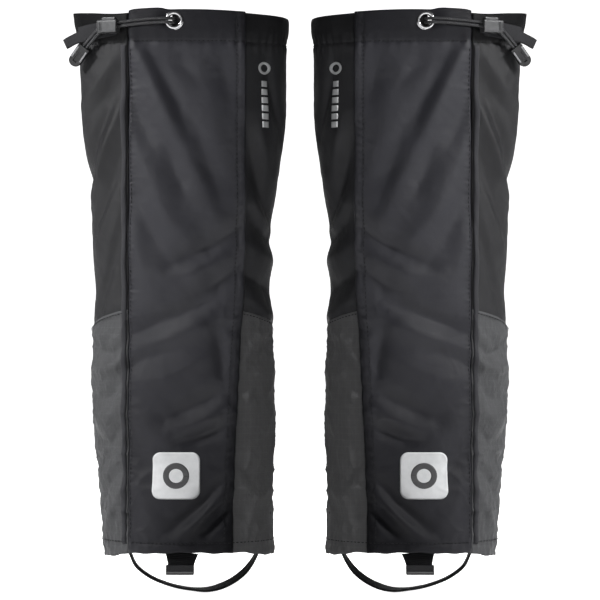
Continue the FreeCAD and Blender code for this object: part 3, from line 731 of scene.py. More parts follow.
def webbing_material(name, colour, rib=1.6, rough=0.75, gloss=0.2):
    """Narrow woven tape: ribs across it, fine warp threads along it."""
    n = Nodes(name)
    place = n.cloth()
    ribs = n.wave(place, rib, "Y", 0.6)
    threads = n.wave(place, 0.7, "X", 0.5)
    fuzz = n.noise(place, 1900, 3.0)
    height = n.sums(n.times(ribs, 0.7), n.times(threads, 0.45), n.times(fuzz, 0.5))
    # the colour is half random tone, half painted shade that follows the ribs' and threads' height, darker in their
    # hollows
    share = n.range(n.sums(n.times(height, 0.5), n.times(n.noise(place, 90), 0.5)), 0.3, 0.9, 0, 1)
    return n.set(
        Base_Color=n.shades(share, colour, 0.72, 1.3), Normal=n.bump(height, 0.6, 0.0003),
        Roughness=n.range(fuzz, 0.3, 0.7, rough - 0.08, rough + 0.1), Specular_IOR_Level=gloss,
    )


def braided_cord(name, colour):
    """Round elastic cord with a braided cover."""
    n = Nodes(name)
    split = n.add("ShaderNodeSeparateXYZ", {0: n.cloth()})
    around = n.add("ShaderNodeMath", {0: split.outputs[2], 1: split.outputs[1]}, operation="ARCTAN2").outputs[0]
    strands = []
    for way in (1, -1):
        phase = n.sums(n.times(split.outputs[0], 4200.0), n.times(around, 4.0 * way))
        strands.append(n.add("ShaderNodeMath", {0: phase}, operation="SINE").outputs[0])
    weave = n.add("ShaderNodeMath", {0: strands[0], 1: strands[1]}, operation="MAXIMUM").outputs[0]
    height = n.range(weave, -1, 1, 0, 1)
    # painted shade and highlight: the colour follows the braid's height, dark in its grooves, light on its crowns
    return n.set(
        Base_Color=n.shades(height, colour, 0.45, 1.5), Roughness=0.42, Normal=n.bump(height, 0.8, 0.00025),
        Sheen_Weight=0.1, Specular_IOR_Level=0.3,
    )


def moulded(name, colour, rough, grain, gloss=0.5):
    """Moulded plastic: fine spark-eroded grain, small scuffs on the gloss."""
    n = Nodes(name)
    wide = n.noise(n.place(), 420, 4.0, 0.6)
    return n.set(
        Base_Color=n.shades(n.range(wide, 0.35, 0.7, 0, 1), colour, 0.86, 1.18),
        Roughness=n.range(wide, 0.3, 0.75, rough - 0.07, rough + 0.12),
        Normal=n.bump(n.noise(n.place(), 5200, 2.0), grain, 0.0001), Specular_IOR_Level=gloss, Coat_Roughness=0.12,
    )


def metal(name, colour, rough):
    """Plated metal with fine polishing lines and faint wear."""
    n = Nodes(name)
    wear = n.noise(n.place(), 500, 5.0, 0.65)
    lines = n.noise(n.scaled(n.place(), (1.0, 6.0, 1.0)), 3000, 2.0)
    return n.set(
        Base_Color=n.shades(n.range(wear, 0.4, 0.7, 0, 1), colour, 0.82, 1.08), Metallic=1.0,
        Roughness=n.range(wear, 0.35, 0.75, rough, rough + 0.18), Normal=n.bump(lines, 0.1, 0.00005),
    )


def reflective(name, colour):
    """Light gray reflective print: a fine even layer of glass beads."""
    n = Nodes(name)
    beads = n.noise(n.place(), 7000, 1.0)
    return n.set(
        Base_Color=n.shades(n.range(n.noise(n.place(), 160, 3.0), 0.35, 0.7, 0, 1), colour, 0.94, 1.05),
        Roughness=n.range(beads, 0.3, 0.7, 0.42, 0.6), Normal=n.bump(beads, 0.25, 0.00006),
    )


def pile(name, colour, coarse):
    """Hook or loop tape: tufts standing on a woven ground."""
    n = Nodes(name)
    cells = n.add("ShaderNodeTexVoronoi", {"Vector": n.cloth(), "Scale": coarse}).outputs["Distance"]
    height = n.sums(n.range(cells, 0.0, 0.5, 1, 0), n.times(n.noise(n.cloth(), 2400, 3.0), 0.4))
    # painted shade: the colour follows the tufts' height, dark in the ground between them, light on their tips
    return n.set(
        Base_Color=n.shades(n.range(height, 0.2, 1.2, 0, 1), colour, 0.5, 1.6), Roughness=0.85,
        Normal=n.bump(height, 0.9, 0.0006),
    )


M = {
    "upper": woven(
        "upper_cloth", (0.0150, 0.0150, 0.0165), thread=0.45, rough=0.5, crinkle=0.2, sheen=0.03, gloss=0.22
    ),
    "upper_inner": woven(
        "upper_cloth_inner", (0.0170, 0.0170, 0.0190), thread=0.45, rough=0.55, crinkle=0.2, sheen=0.04, gloss=0.20
    ),
    "lower": woven(
        "lower_cloth", (0.060, 0.061, 0.064), thread=0.6, rough=0.6, sheen=0.05, gloss=0.28, ripstop=0.9,
        crinkle=0.75, vary=0.2,
    ),
    # lower_cloth_inner is the same cloth as lower_cloth, painted more than twice as light: painted light for the inner
    # side, which the key light misses
    "lower_inner": woven(
        "lower_cloth_inner", (0.140, 0.140, 0.143), thread=0.6, ripstop=0.9, crinkle=0.6, vary=0.16, sheen=0.12,
        gloss=0.2,
    ),
    "flap": woven("flap_cloth", (0.015, 0.015, 0.020), thread=0.4, rough=0.5, crinkle=0.16, sheen=0.03, gloss=0.3),
    "lining": woven("lining_cloth", (0.060, 0.061, 0.066), thread=0.5, crinkle=0.2),
    "piping": woven("piping_cloth", (0.030, 0.030, 0.034), thread=0.45, crinkle=0.25),
    "tape": woven("seam_tape", (0.045, 0.045, 0.050), thread=0.7, rough=0.55, crinkle=0.1),
    "elastic": webbing_material("elastic", (0.024, 0.024, 0.026), rib=1.2),
    "webbing": webbing_material("webbing", (0.019, 0.019, 0.021), rib=1.5),
    "strap": webbing_material("strap_webbing", (0.013, 0.013, 0.014), rib=2.0, rough=0.55),
    "tab": webbing_material("tab_webbing", (0.006, 0.006, 0.0065), rib=1.5, gloss=0.06),
    "hook_tape": pile("hook_tape", (0.018, 0.018, 0.019), 900),
    "loop_tape": pile("loop_tape", (0.018, 0.018, 0.019), 520),
    "cord": braided_cord("drawcord", (0.016, 0.016, 0.018)),
    "thread": moulded("stitch_thread", (0.010, 0.010, 0.011), 0.6, 0.3, gloss=0.1),
    "lock": moulded("lock_plastic", (0.060, 0.061, 0.064), 0.38, 0.1),
    # painted highlights on the cord end's rails
    "bar": moulded("cord_end_bars", (0.30, 0.30, 0.31), 0.22, 0.03),
    "button": moulded("button_plastic", (0.060, 0.060, 0.064), 0.34, 0.08),
    "cord_end": moulded("cord_end_plastic", (0.012, 0.012, 0.013), 0.32, 0.04, gloss=0.3),
    # painted highlight on the hook plate's lower edge
    "edge_highlight": moulded("hook_bead", (0.07, 0.07, 0.072), 0.35, 0.04),
    "hook": moulded("hook_steel", (0.008, 0.008, 0.009), 0.4, 0.06, gloss=0.15),
    "eyelet": metal("eyelet_metal", (0.42, 0.42, 0.43), 0.14),
    "spring": metal("spring_steel", (0.6, 0.6, 0.61), 0.25),
    "print": reflective("reflective_print", (0.72, 0.73, 0.74)),
    "print_dark": reflective("print_dark", (0.030, 0.030, 0.032)),
}

# ---------------------------------------------------------------------------------------------------------
# The pieces of one gaiter


EYELET_X, EYELET_Z, HOLE_RADIUS = -98.1, 449.6, 4.7
FRONT_END = 424.0  # the angle where rows of stitches end on the placket, under the flap
SEAM_LAP = 3.0


def hinge_angle(z):
    return angle_at(HINGE_X - 0.6, z)


BACK = constant(270.0)


def placket_far(z):
    return 360.0 + angle_at(-99.5, z)


def placket_near(z):
    return 360.0 + angle_at(-58.0, z)


def from_edge(distance, turns=0):
    """The angle a distance inside the flap's free edge, or on the placket below it after a full turn."""
    return lambda z: 360.0 * turns + angle_at(FLAP_EDGE(z) - distance, z)


def panels(side):
    """The four side panels and the placket."""

    def lapped(angle, z, u, v):
        return 0.45 * np.exp(-(((v - 1) * 180 / 4.0) ** 2)) + 0.25 * np.exp(-((u * 180 / 2.2) ** 2))

    def edged(angle, z, u, v):
        return 0.3 * np.exp(-((u * 200 / 2.5) ** 2)) + 0.3 * np.exp(-(((1 - u) * 200 / 2.5) ** 2))

    # painted shade: the channel band, and a dark line painted just past the flap's free edge as its shadow
    def painted_gap_shade(angle, z):
        beyond = np.radians(360.0 + from_edge(0)(z) - angle) * UNROLL
        return painted_shade_at(angle, z) * (1 - 0.6 * np.exp(-((np.maximum(np.abs(beyond + 0.6) - 0.9, 0) / 0.5) ** 2)))

    for name, angles, kind in (("outer", (hinge_angle, BACK), ""), ("inner", (BACK, placket_near), "_inner")):
        for level, heights, offset, thickness, extra in (
            ("upper", (lambda a: panel_seam(a) - SEAM_LAP, top_edge), 0.0, 0.9, edged),
            ("lower", (bottom_edge, panel_seam), 0.5, 1.0, lapped),
        ):
            cloth_panel(
                f"{name}_{level}_cloth", side, "gaiter", angles, heights, offset, thickness, M[level + kind],
                extra=extra, tone=painted_gap_shade, lining=M["lining"], replaces=[f"{name}_{level}_panel"],
                slot=f"{level}_cloth{kind}",
            )
    cloth_panel(
        "placket_cloth", side, "gaiter", (placket_near, placket_far), (bottom_edge, top_edge), 0.0, 0.9,
        M["upper_inner"], lining=M["lining"], replaces=["placket"], slot="placket_cloth",
    )


def tapes(side):
    """Hook tape on the placket, loop tape under the flap."""
    cloth_panel(
        "hook_tape", side, "gaiter", (from_edge(16, 1), from_edge(36, 1)), (constant(52), constant(428)), 0.75, 0.6,
        M["hook_tape"], replaces=["hook_strip"], slot="hook_tape",
    )
    cloth_panel(
        "loop_tape", side, "flap", (from_edge(9), from_edge(31)), (constant(50), constant(430)), 1.2, 0.35,
        M["loop_tape"], replaces=["loop_strip"], slot="loop_tape",
    )


def flap_lift(angle, z, u=None, v=None):
    """The flap's free edge stands a little proud, and its doubled hems are thicker."""
    inside = np.radians(angle - from_edge(0)(z)) * UNROLL
    near_hinge = np.radians(hinge_angle(z) - angle) * UNROLL
    x = middle_at(z) + half_width_at(z) * np.cos(np.radians(angle))
    lift = (0.9 + 0.7 * noise(0 * z, z, 38, 21)) * np.exp(-((inside / 7.0) ** 2))
    for height, place, width, power in (
        (0.35, inside - 3.2, 3.4, 4), (-0.5, inside - 6.8, 0.9, 2), (0.4, z - 38, 5.0, 4),
        (-0.4, z - HEM_STITCH, 0.9, 2), (-0.9, near_hinge, 2.0, 2),
        (-0.6, np.hypot(x - EYELET_X, z - EYELET_Z), 9.0, 4),
    ):
        lift = lift + height * np.exp(-((place / width) ** power))
    lift += 1.1 * np.exp(-(((x + 120) / 13) ** 4)) * np.exp(-(((z - 449) / 9) ** 4))
    lift += 0.30 * np.sin(z / 0.85 + 2.5 * noise(0 * z, z, 17, 22)) * np.exp(-(((near_hinge - 3.5) / 3.5) ** 2))
    drawn = np.sin(z / 1.0 + inside / 2.2 + 2.0 * noise(0 * z, z, 19, 23))
    return lift + 0.26 * drawn * np.exp(-(((inside - 5) / 4) ** 2))


def flap_top(angle):
    x = -93.6 + 83.4 * np.cos(np.radians(angle))
    return top_edge(angle) + 0.6 + 1.8 * np.exp(-(((x + 119) / 14.5) ** 6))


def flap_face(angle, z):
    return cloth_offset(angle, z) + flap_lift(angle, z) + FLAP_OUTER


def flap(side):
    """The storm flap, with a hemmed margin and a hem at the bottom, and its channel's lining."""
    open_hole(cloth_panel(
        "flap_cloth", side, "flap", (from_edge(0.0), lambda z: hinge_angle(z) - 0.8),
        (lambda a: bottom_edge(a) - 0.2, flap_top), FLAP_OUTER - 0.5, 1.0, M["flap"],
        extra=flap_lift, tone=flap_painted_shade, lining=M["lining"], replaces=["front_flap"], slot="flap_cloth", fine=0.85,
    ), side)
    open_hole(cloth_panel(
        "flap_hem_lining", side, "flap", (constant(94.5), lambda z: hinge_angle(z) - 3.0),
        (constant(TOP_STITCH), lambda a: flap_top(a) - 0.8), -1.9, 0.6, M["lining"],
        replaces=["flap_hem_facing"], slot="lining_cloth",
    ), side)


def open_hole(piece, side):
    """Cuts the eyelet's hole: drops the points inside it, rounds its rim and joins the front to the back."""
    centre = np.array([EYELET_X * SIDES[side], EYELET_Z]) * MM
    work = bmesh.new()
    work.from_mesh(piece.data)

    def away(vert):
        return vert.co.x - centre[0], vert.co.z - centre[1]

    inside = [vert for vert in work.verts if vert.co.y < 0 and math.hypot(*away(vert)) < HOLE_RADIUS * MM]
    bmesh.ops.delete(work, geom=inside, context="VERTS")
    rims = [edge for edge in work.edges if edge.is_boundary]
    for vert in {vert for edge in rims for vert in edge.verts}:
        offset = np.array(away(vert))
        vert.co.x, vert.co.z = centre + offset / np.hypot(*offset) * HOLE_RADIUS * MM
    bmesh.ops.bridge_loops(work, edges=rims)
    work.to_mesh(piece.data)
    work.free()
    piece.data.update()


def ring_places(x, z, radii, steps):
    """Places on a flat ring, turning clockwise, one row for each radius."""
    turns = -2 * math.pi * np.arange(steps + 1) / steps
    radii = np.array(radii)[:, None]
    return x + radii * np.cos(turns), z + radii * np.sin(turns)


def patch(side):
    """A rounded square of reflective film with a plain ring printed on it."""
    middle_x, middle_z, half, corner = -96.2, 95.4, 18.2, 6.4
    u, v = np.meshgrid(np.linspace(1, -1, 33), np.linspace(-1, 1, 33))
    turn = np.arctan2(v, u)
    c, s = np.abs(np.cos(turn)), np.abs(np.sin(turn))
    flat, straight = half - corner, half / np.maximum(c, s)
    # near a corner a ray from the middle ends on the corner's circle
    dot = flat * (c + s)
    rounded = dot + np.sqrt(np.maximum(dot * dot - 2 * flat * flat + corner * corner, 0))
    reach = np.where((straight * c > flat) & (straight * s > flat), rounded, straight)
    reach = reach * np.maximum(np.abs(u), np.abs(v))
    x, z = middle_x + reach * np.cos(turn), middle_z + reach * np.sin(turn)
    angle = angle_at(x, z)
    make_piece(
        "patch_film", side, *film(angle, z, flap_face(angle, z), 0.28, -0.1), "flap", M["print"],
        replaces=["flap_patch"], slot="reflective_print",
    )
    x, z = ring_places(middle_x, middle_z, (5.4, 6.4, 7.6, 8.8, 10.0), 64)
    angle = angle_at(x, z)
    make_piece(
        "patch_ring", side, *film(angle, z, flap_face(angle, z), 0.36, 0.2), "flap", M["print_dark"],
        slot="reflective_print",
    )


def merged(parts):
    """Several sets of points and faces as one."""
    points, faces = [], []
    for more, sides in parts:
        faces += [tuple(i + len(points) for i in face) for face in sides]
        points += [tuple(point) for point in more]
    return points, faces


def side_print(side):
    """Generic reflective trim high on the inner panel: a small ring and a row of plain dashes."""
    places = [ring_places(-27.8, 414.0, (3.0, 4.0, 5.0), 48)]
    for k in range(6):
        high = 404.0 - 6.4 * k
        places.append(np.meshgrid(np.linspace(-25.2, -30.4, 5), np.linspace(high - 4.6, high, 5)))
    parts = [film(angle_at(x, z), z, cloth_offset(angle_at(x, z), z) + 0.45, 0.22, -0.1) for x, z in places]
    make_piece(
        "side_print", side, *merged(parts), "gaiter", M["print"], replaces=["side_mark"], slot="reflective_print"
    )


# X and height of the piping's section
PIPING = np.array([(-139.9, -0.2), (-139.2, 0.8), (-138.2, 1.4), (-137.2, 1.7), (-136.3, 1.7), (-135.6, 1.3),
                   (-135.2, 0.5), (-135.1, -0.2)])[::-1]


def piping(side):
    """The tuck of cloth that the flap is sewn into, a soft ridge beside the hinge."""
    low, high = 41, 431.5
    z = np.repeat(np.linspace(low, high, 200)[:, None], len(PIPING), 1)
    end = np.clip(np.minimum(z - low, high - z) / 2.5, 0.15, 1)
    x = PIPING[:, 0] + 0.6 * (0.25 * np.sin(z / 11.0) + 0.2 * np.sin(z / 4.7))
    height = PIPING[:, 1] * end + 0.12 * np.sin(z / 3.1) * (PIPING[:, 1] > 1)
    angle = angle_at(x, z)
    base = cloth_offset(angle, z)
    points, faces, _ = closed_sheet(tube_point(angle, z, base + 0.4 + height), tube_point(angle, z, base + 0.1))
    flat = unrolled(angle, z)
    make_piece("piping_tuck", side, points, faces, "gaiter", M["piping"], replaces=["flap_seam_piping"],
               slot="piping", cloth=np.concatenate([flat, flat]))


def hems(side):
    """Linings of the drawcord channel and of the bottom hem, seam tape and ankle elastic."""
    around = (hinge_angle, placket_far)

    def channel(angle, z, u, v):
        return -1.5 * channel_bulge(z)

    cloth_panel(
        "top_hem_lining", side, "gaiter", around, (constant(TOP_STITCH), lambda a: top_edge(a) - 0.8), -4.0, 0.6,
        M["lining"], extra=channel, replaces=["top_hem_facing"], slot="lining_cloth",
    )
    cloth_panel(
        "top_hem_fold", side, "gaiter", around, (lambda a: top_edge(a) - 2.0, lambda a: top_edge(a) + 0.3),
        -1.7, 4.0, M["upper"], slot="upper_cloth", fine=0.5,
    )
    cloth_panel(
        "bottom_hem_lining", side, "gaiter", around, (lambda a: bottom_edge(a) + 0.2, constant(HEM_STITCH + 3.0)),
        -1.2, 0.6, M["lining"], replaces=["bottom_hem_facing"], slot="lining_cloth",
    )
    cloth_panel(
        "back_tape", side, "gaiter", (constant(262.0), constant(278.0)), (constant(49), constant(432)), -0.85, 0.35,
        M["tape"], replaces=["back_seam_tape"], slot="seam_tape",
    )
    cloth_panel(
        "ankle_elastic_band", side, "gaiter", (constant(243.0), constant(297.0)), (constant(104), constant(122)),
        -1.8, 1.0, M["elastic"], replaces=["ankle_elastic"], slot="elastic",
    )


def seams(side):
    """All the rows of stitching."""

    def on_flap(angle, z, lift, up=0.0):
        return float(angle), z + up, FLAP_OUTER + lift + float(flap_lift(angle, z))

    def along_flap(z, inset):
        return np.linspace(float(from_edge(1.5)(z)), float(hinge_angle(z)) - inset, 18)

    for name, line in (
        ("hinge", [on_flap(angle_at(-131.3, z), z, 0.1) for z in np.linspace(46, 431, 24)]),
        ("margin", [on_flap(from_edge(6.9)(z), z, 0.12) for z in np.linspace(46, 455, 26)]),
        ("flap_channel", [on_flap(a, TOP_STITCH, 0.25, 0.4) for a in along_flap(TOP_STITCH, 2.5)]),
        ("flap_hem", [on_flap(a, HEM_STITCH, 0.25) for a in along_flap(HEM_STITCH, 2.0)]),
    ):
        stitches(name, side, "flap", line)
    for name, z, inset, down, lift in (("channel", TOP_STITCH, 1.0, 0.4, 0.55), ("hem", HEM_STITCH, 5.5, 0.0, 1.05)):
        around = np.linspace(float(hinge_angle(z)) + inset, FRONT_END, 60)
        stitches(name, side, "gaiter", [(a, z - down, lift) for a in around])
    for name, low, high in (("outer", 127.0, 268.0), ("inner", 272.0, FRONT_END)):
        line = [(a, float(panel_seam(a)) - 2.2, 1.3) for a in np.linspace(low, high, 40)]
        stitches(f"{name}_seam", side, "gaiter", line, length=2.0, gap=0.9)
    for level, low, high, lift in (("", 47, 186, 1.05), ("_high", 192, 430, 0.55)):
        for name, a in (("back_left", 267.8), ("back_right", 272.2)):
            stitches(name + level, side, "gaiter", [(a, z, lift) for z in np.linspace(low, high, 24)])
    for name, z in (("elastic_low", 105.5), ("elastic_high", 120.5)):
        stitches(name, side, "gaiter", [(a, z, 1.05) for a in np.linspace(243, 297, 24)])


def lathe(profile, depth, steps=64):
    """Turns a closed outline of (radius, depth) about the eyelet's axis, from front to back."""
    points, faces = [], []
    count = len(profile)
    for k in range(steps):
        a = 2 * math.pi * k / steps
        points += [(EYELET_X + r * math.cos(a), depth + d, EYELET_Z + r * math.sin(a)) for r, d in profile]
        for i in range(count):
            j = (i + 1) % count
            a, b = k * count, ((k + 1) % steps) * count
            faces.append((a + i, b + i, b + j, a + j))
    return points, faces


def eyelet(side):
    """A pressed eyelet with a rolled crown, and its washer behind the cloth."""
    front = -40.6
    crown = [(4.55, 4.4), (4.5, 1.2)]
    for k in range(13):
        a = math.pi * k / 12
        crown.append((5.75 - 1.25 * math.cos(a), 1.1 - 1.25 * math.sin(a)))
    crown += [(7.3, 1.15), (7.55, 1.4), (7.5, 1.75), (5.4, 1.75), (5.0, 2.1), (5.0, 4.4)]
    washer = [(5.1, 3.6), (5.5, 3.4), (7.3, 3.4), (7.6, 3.65), (7.3, 3.9), (5.1, 4.1)]
    for name, profile, node in (("eyelet_ring", crown, "eyelet"), ("eyelet_back", washer, "eyelet_washer")):
        make_piece(name, side, *lathe(profile, front), "flap", M["eyelet"], replaces=[node], slot="eyelet_metal")


def cad_piece(side, node):
    return next(o for o in bpy.data.objects if o.get("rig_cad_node") == f"{side}_{node}")


def cad_copy(name, side, node, material):
    """A copy of a CAD piece that can be shaped."""
    source = cad_piece(side, node)
    mesh = source.data.copy()
    mesh.transform(source.matrix_world)
    mesh.materials.clear()
    mesh.materials.append(material)
    mesh.polygons.foreach_set("use_smooth", [True] * len(mesh.polygons))
    return show(f"{side}_{name}", mesh)


def soft_edged(name, side, node, body, material, voxel, smooth=3):
    """A copy of a hard CAD piece with its edges rounded as moulded or pressed ones are."""
    piece = cad_copy(name, side, node, material)
    remesh = piece.modifiers.new("even", "REMESH")
    remesh.mode = "VOXEL"
    remesh.voxel_size = voxel * MM * 1
    relax = piece.modifiers.new("soften", "SMOOTH")
    relax.factor = 0.5
    relax.iterations = smooth
    bpy.context.view_layer.update()
    final = bpy.data.meshes.new_from_object(piece.evaluated_get(bpy.context.evaluated_depsgraph_get()))
    piece.modifiers.clear()
    piece.data = final
    final.materials.clear()
    final.materials.append(material)
    final.polygons.foreach_set("use_smooth", [True] * len(final.polygons))
    final.update()
    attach(piece, f"{side}_{body}")
    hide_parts(f"{side}_{node}")


LOCK = (-149.5, -34.3, 445.3)
LOCK_TURN = math.radians(-20)


def in_lock(x, y, z):
    c, s = math.cos(LOCK_TURN), math.sin(LOCK_TURN)
    return (LOCK[0] + c * x - s * y, LOCK[1] + s * x + c * y, LOCK[2] + z)


def rounded_slab(low, high, radius, place=lambda *point: point):
    """A box with round edges, as points and faces, in a frame of its own that place turns into the gaiter's."""
    low, high = np.array(low, float), np.array(high, float)
    work = bmesh.new()
    bmesh.ops.create_cube(work, size=1.0)
    for vert in work.verts:
        vert.co = Vector(low + (np.array(vert.co) + 0.5) * (high - low))
    bmesh.ops.bevel(work, geom=work.edges[:] + work.verts[:], offset=radius, segments=3, profile=0.5, affect="EDGES")
    work.verts.index_update()
    points = [place(*vert.co) for vert in work.verts]
    faces = [tuple(vert.index for vert in face.verts) for face in work.faces]
    work.free()
    return points, faces


def lock(side):
    """The cord lock: softened housing and button, and grip ribs at one end; and the cord end."""
    soft_edged("lock_body", side, "lock_housing", "gaiter", M["lock"], 0.14)
    soft_edged("lock_push", side, "lock_button", "lock_button", M["button"], 0.14)
    ribs = [rounded_slab((x - 0.3, -4.95, -3.9), (x + 0.3, -4.2, 3.7), 0.24, in_lock) for x in (-7.2, -5.9, -4.6)]
    make_piece("lock_ribs", side, *merged(ribs), "gaiter", M["lock"], slot="lock_plastic")
    soft_edged("cord_end_loop", side, "cord_end", "gaiter", M["cord_end"], 0.16, smooth=4)


CORD_SPACING = 2.9
CORD_END_TOP = np.array([-168.6, -24.4, 430.8])
CORD_END_TIP = np.array([-179.0, -17.0, 417.4])
CORD_END_AXIS = (CORD_END_TIP - CORD_END_TOP) / np.linalg.norm(CORD_END_TIP - CORD_END_TOP)
CORD_END_ACROSS = np.array([-CORD_END_AXIS[2], 0, CORD_END_AXIS[0]]) / math.hypot(CORD_END_AXIS[2], CORD_END_AXIS[0])


def end_bars(side):
    """Two light gray bars down the front of the cord end, one each side of its slot: painted highlights on its glossy
    rails.
    """
    out = np.cross(CORD_END_AXIS, CORD_END_ACROSS)
    out *= -np.sign(out[1])

    def on_end(a, b, c):
        return CORD_END_TOP + CORD_END_ACROSS * a + out * b + CORD_END_AXIS * c

    bars = [rounded_slab((x - 0.75, 2.0, 2.2), (x + 0.75, 3.1, 12.6), 0.5, on_end) for x in (-3.9, 3.9)]
    make_piece("cord_end_bars", side, *merged(bars), "gaiter", M["bar"], slot="cord_end_plastic")


def drawcord(side):
    """Two strands from the eyelet, over the flap, through the lock and into the cord end."""
    for label, way, length in (("upper", 1, 0.0943), ("lower", -1, 0.0918)):
        half = way * CORD_SPACING / 2
        end = CORD_END_TOP - half * 0.9 * CORD_END_ACROSS
        rise = 1.45 + half
        x, z = EYELET_X, EYELET_Z + half
        route = [
            (x + 0.4, -36.2, z), (x + 0.2, -42.2, z), (-113.0, -41.6, z - 0.2), (-127.5, -39.4, z - 1.2),
            in_lock(8.6, 0.0, rise), in_lock(-4.2 - 0.45 * half, 0.0, rise), end, end + CORD_END_AXIS * 9.0,
        ]
        line = route_points([np.array(p) * MM for p in route]) / MM
        points, faces, places = tube_mesh(line, 1.25, 16)
        strand = make_piece(
            f"{label}_strand", side, points, faces, None, M["cord"], slot="cord", cloth=places,
            replaces=["drawcord_ends"] if way == 1 else (),
        )
        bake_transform(strand)


def hem_cords(side):
    """The cords inside the channel and the strap's anchors stay as the CAD has them."""
    for node, material in (("drawcord_hem_run", "cord"), ("drawcord_flap_run", "cord"), ("strap_anchors", "webbing")):
        source = cad_piece(side, node)
        source.data.materials.clear()
        source.data.materials.append(M[material])


def coil(side):
    """The lock's spring, copied from the CAD model."""
    piece = cad_copy("spring_coil", side, "lock_spring", M["spring"])
    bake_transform(piece)
    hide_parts(f"{side}_lock_spring")


def web(name, side, body, material, slot, path, across, width, thickness, roll=0.0, replaces=()):
    """A piece of webbing along a path, lying no lower than the floor."""
    points, faces, places = band_mesh(path, across, width, thickness, roll)
    points[:, 2] = np.maximum(points[:, 2], 0.05)
    make_piece(name, side, points, faces, body, M[material], replaces=replaces, slot=slot, cloth=places)


def tether(side):
    """The webbing that holds the lock: a wide piece round the outer corner, and a loose tail with a cut end."""
    angles = np.linspace(float(angle_at(-143.0, 441)), 163.0, 40)
    z = np.interp(angles, [angles[0], angles[-1]], [444.2, 441.0])
    path = tube_point(angles, z, 2.5 + 0.25 * np.sin(np.linspace(0, 6, 40)))
    width = np.interp(angles, [angles[0], 140, 163], [10.5, 12.6, 12.8])
    web("tether_band", side, "gaiter", "webbing", "webbing", path, (0, 0, 1), width, 1.3, replaces=["lock_tether"])
    tail = resample([(-167.5, -18.6, 440.6), (-171.6, -15.9, 440.0), (-176.0, -13.2, 438.6), (-180.6, -11.4, 436.6),
                     (-185.6, -10.6, 433.8)], 0.8)
    share = np.linspace(0, 1, len(tail))
    width = np.interp(share, [0, 0.25, 1], [11.5, 10.6, 9.4])
    web("tether_tail", side, "gaiter", "webbing", "webbing", tail, (0.28, 0, 1), width, 1.3, 0.35 * share)


def instep_strap(side):
    """A flat coated strap under the boot, a little twisted towards its inner end."""
    route = [
        (-151.1, 62.0), (-148.2, 51.0), (-136.9, 34.6), (-129.6, 19.6), (-120.0, 12.0), (-104.0, 5.2), (-86.0, 1.5),
        (-73.0, 1.2), (-58.0, 5.8), (-43.5, 16.2), (-33.6, 31.6), (-28.8, 48.0), (-26.6, 62.0),
    ]
    path = resample([(x, 0, z + 0.9) for x, z in route], 1.2)
    share = np.linspace(0, 1, len(path))
    roll = np.interp(share, [0, 0.50, 0.62, 0.74, 0.84, 0.92, 1], [0, 0, 0.28, 0.32, 0.10, 0, 0])
    web("strap_band", side, "strap", "strap", "strap_webbing", path, (0, 1, 0), 13.5, 1.8, roll, ["instep_strap"])


def lace_tab(side):
    """The webbing tab under the front hem and its bent hook."""
    path = [(-92.6 + 0.6 * (z - 27) / 8, -41.2 + 0.12 * math.sin(z), z) for z in np.linspace(35.6, 20.6, 16)]
    width = np.interp(np.linspace(0, 1, 16), [0, 0.35, 0.62, 1], [26.0, 22.4, 20.4, 19.8])
    web("lace_tab_web", side, "lace_tab", "tab", "webbing", path, (1, 0, 0), width, 1.5, replaces=["lace_tab"])
    soft_edged("lace_hook_plate", side, "lace_hook", "lace_tab", M["hook"], 0.16, smooth=3)
    # a lighter strip along the hook plate's lower edge: painted highlight on that edge
    edge_highlight = rounded_slab((-103.6, -43.75, 19.6), (-83.2, -43.05, 20.9), 0.3)
    make_piece("lace_hook_bead", side, *edge_highlight, "lace_tab", M["edge_highlight"], slot="hook_steel")


def declare_cloth(side):
    """Does nothing: the flat sizes the cloth was cut to are not given here."""


STEPS = (panels, tapes, flap, patch, side_print, piping, hems, seams, eyelet, lock, end_bars, drawcord, hem_cords, coil,
         tether, instep_strap, lace_tab, declare_cloth)
for gaiter in SIDES:
    for step in STEPS:
        step(gaiter)

# ---------------------------------------------------------------------------------------------------------
# Stage, light and camera


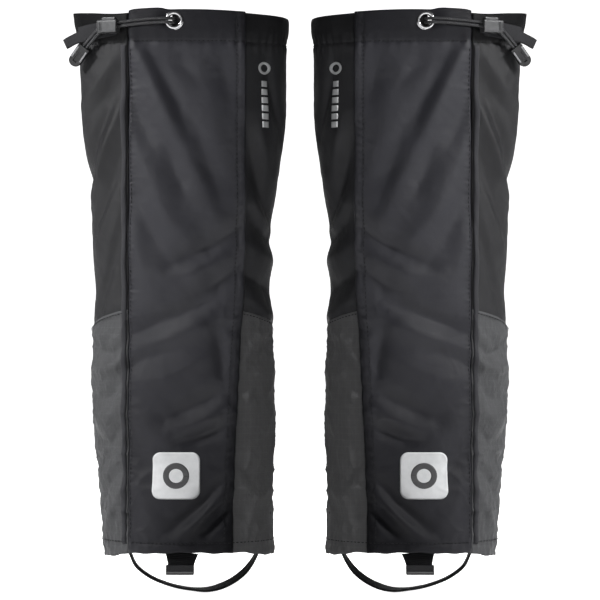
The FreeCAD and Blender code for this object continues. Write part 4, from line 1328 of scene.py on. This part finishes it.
def stage():
    """A pale floor and, all round it, a wall that curves up out of it."""
    n = Nodes("sweep")
    place = n.add("ShaderNodeTexCoord").outputs["Object"]
    tone = n.range(n.noise(place, 3.0), 0.3, 0.7, 0.0, 1.0)
    n.set(Base_Color=n.mix(tone, (0.93, 0.93, 0.93, 1), (0.95, 0.95, 0.95, 1)), Roughness=0.95)
    n.shader.inputs["Emission Color"].default_value = (1, 1, 1, 1)
    n.shader.inputs["Emission Strength"].default_value = 0.95
    steps, reach, bend, tall = 96, 3.9, 0.7, 6.0
    profile = [(reach, 0.0)]
    for k in range(1, 13):
        a = math.pi / 2 * k / 12
        profile.append((reach + bend * math.sin(a), bend - bend * math.cos(a)))
    profile.append((reach + bend, tall))
    turns = [2 * math.pi * k / steps for k in range(steps)]
    rings = [[(r * math.cos(a), r * math.sin(a), z - 0.0006) for a in turns] for r, z in profile]
    wall = []
    for i in range(len(rings) - 1):
        for k in range(steps):
            a, b = i * steps + k, i * steps + (k + 1) % steps
            wall.append((a, a + steps, b + steps, b))
    for name, points, faces in (("floor", rings[0], [tuple(range(steps))]), ("backdrop", sum(rings, []), wall)):
        mesh = bpy.data.meshes.new(name)
        mesh.from_pydata(points, [], faces)
        mesh.materials.append(n.material)
        mesh.polygons.foreach_set("use_smooth", [name == "backdrop"] * len(faces))
        sweep = show(name, mesh)
        sweep.visible_diffuse = False
        sweep.visible_glossy = name == "floor"


def area_light(name, place, target, size, power, tall, receivers=None):
    light = bpy.data.lights.new(name, "AREA")
    light.shape = "RECTANGLE"
    light.size, light.size_y = size, tall
    light.energy = power
    holder = show(name, light)
    holder.location = place
    holder.rotation_euler = (Vector(target) - Vector(place)).to_track_quat("-Z", "Y").to_euler()
    if receivers is not None:
        holder.light_linking.receiver_collection = receivers


def lit_group(side):
    """The pieces of one gaiter, and the floor."""
    group = bpy.data.collections.new(f"{side}_lit")
    other = "left_" if side == "right" else "right_"
    for piece in bpy.data.objects:
        if piece.type == "MESH" and not piece.name.startswith(other):
            group.objects.link(piece)
    return group


def lights():
    """Each gaiter is lit from its own outer side, as in a pair of mirrored pictures."""
    world = bpy.data.worlds.new("soft_room")
    bpy.context.scene.world = world
    world.use_nodes = True
    background = world.node_tree.nodes["Background"]
    background.inputs["Color"].default_value = (1, 1, 1, 1)
    background.inputs["Strength"].default_value = 0.16
    for side, sign in SIDES.items():
        area_light(f"{side}_key", (-sign * 1.22, -0.70, 1.10), (-sign * 0.09, 0, 0.25), 0.28, 30.0, 0.36,
                   lit_group(side))
    area_light("front_light", (0, -1.7, 0.5), (0, 0, 0.25), 0.9, 3.0, 0.6)
    area_light("back_light", (0, 1.5, 1.2), (0, 0, 0.25), 1.2, 8.0, 0.8)


def camera():
    """Level with the middle of the pair, straight on, far enough for a long lens."""
    view = bpy.data.cameras.new("camera")
    holder = show("camera", view)
    distance, wide, middle = 1.9, 0.468, 0.232
    view.sensor_width = 36.0
    view.lens = 36.0 * (distance - 0.035) / wide
    holder.location = (0, -distance, middle)
    holder.rotation_euler = (math.radians(90), 0, 0)
    bpy.context.scene.camera = holder
    bpy.context.scene.view_settings.view_transform = "Standard"


stage()
lights()
camera()
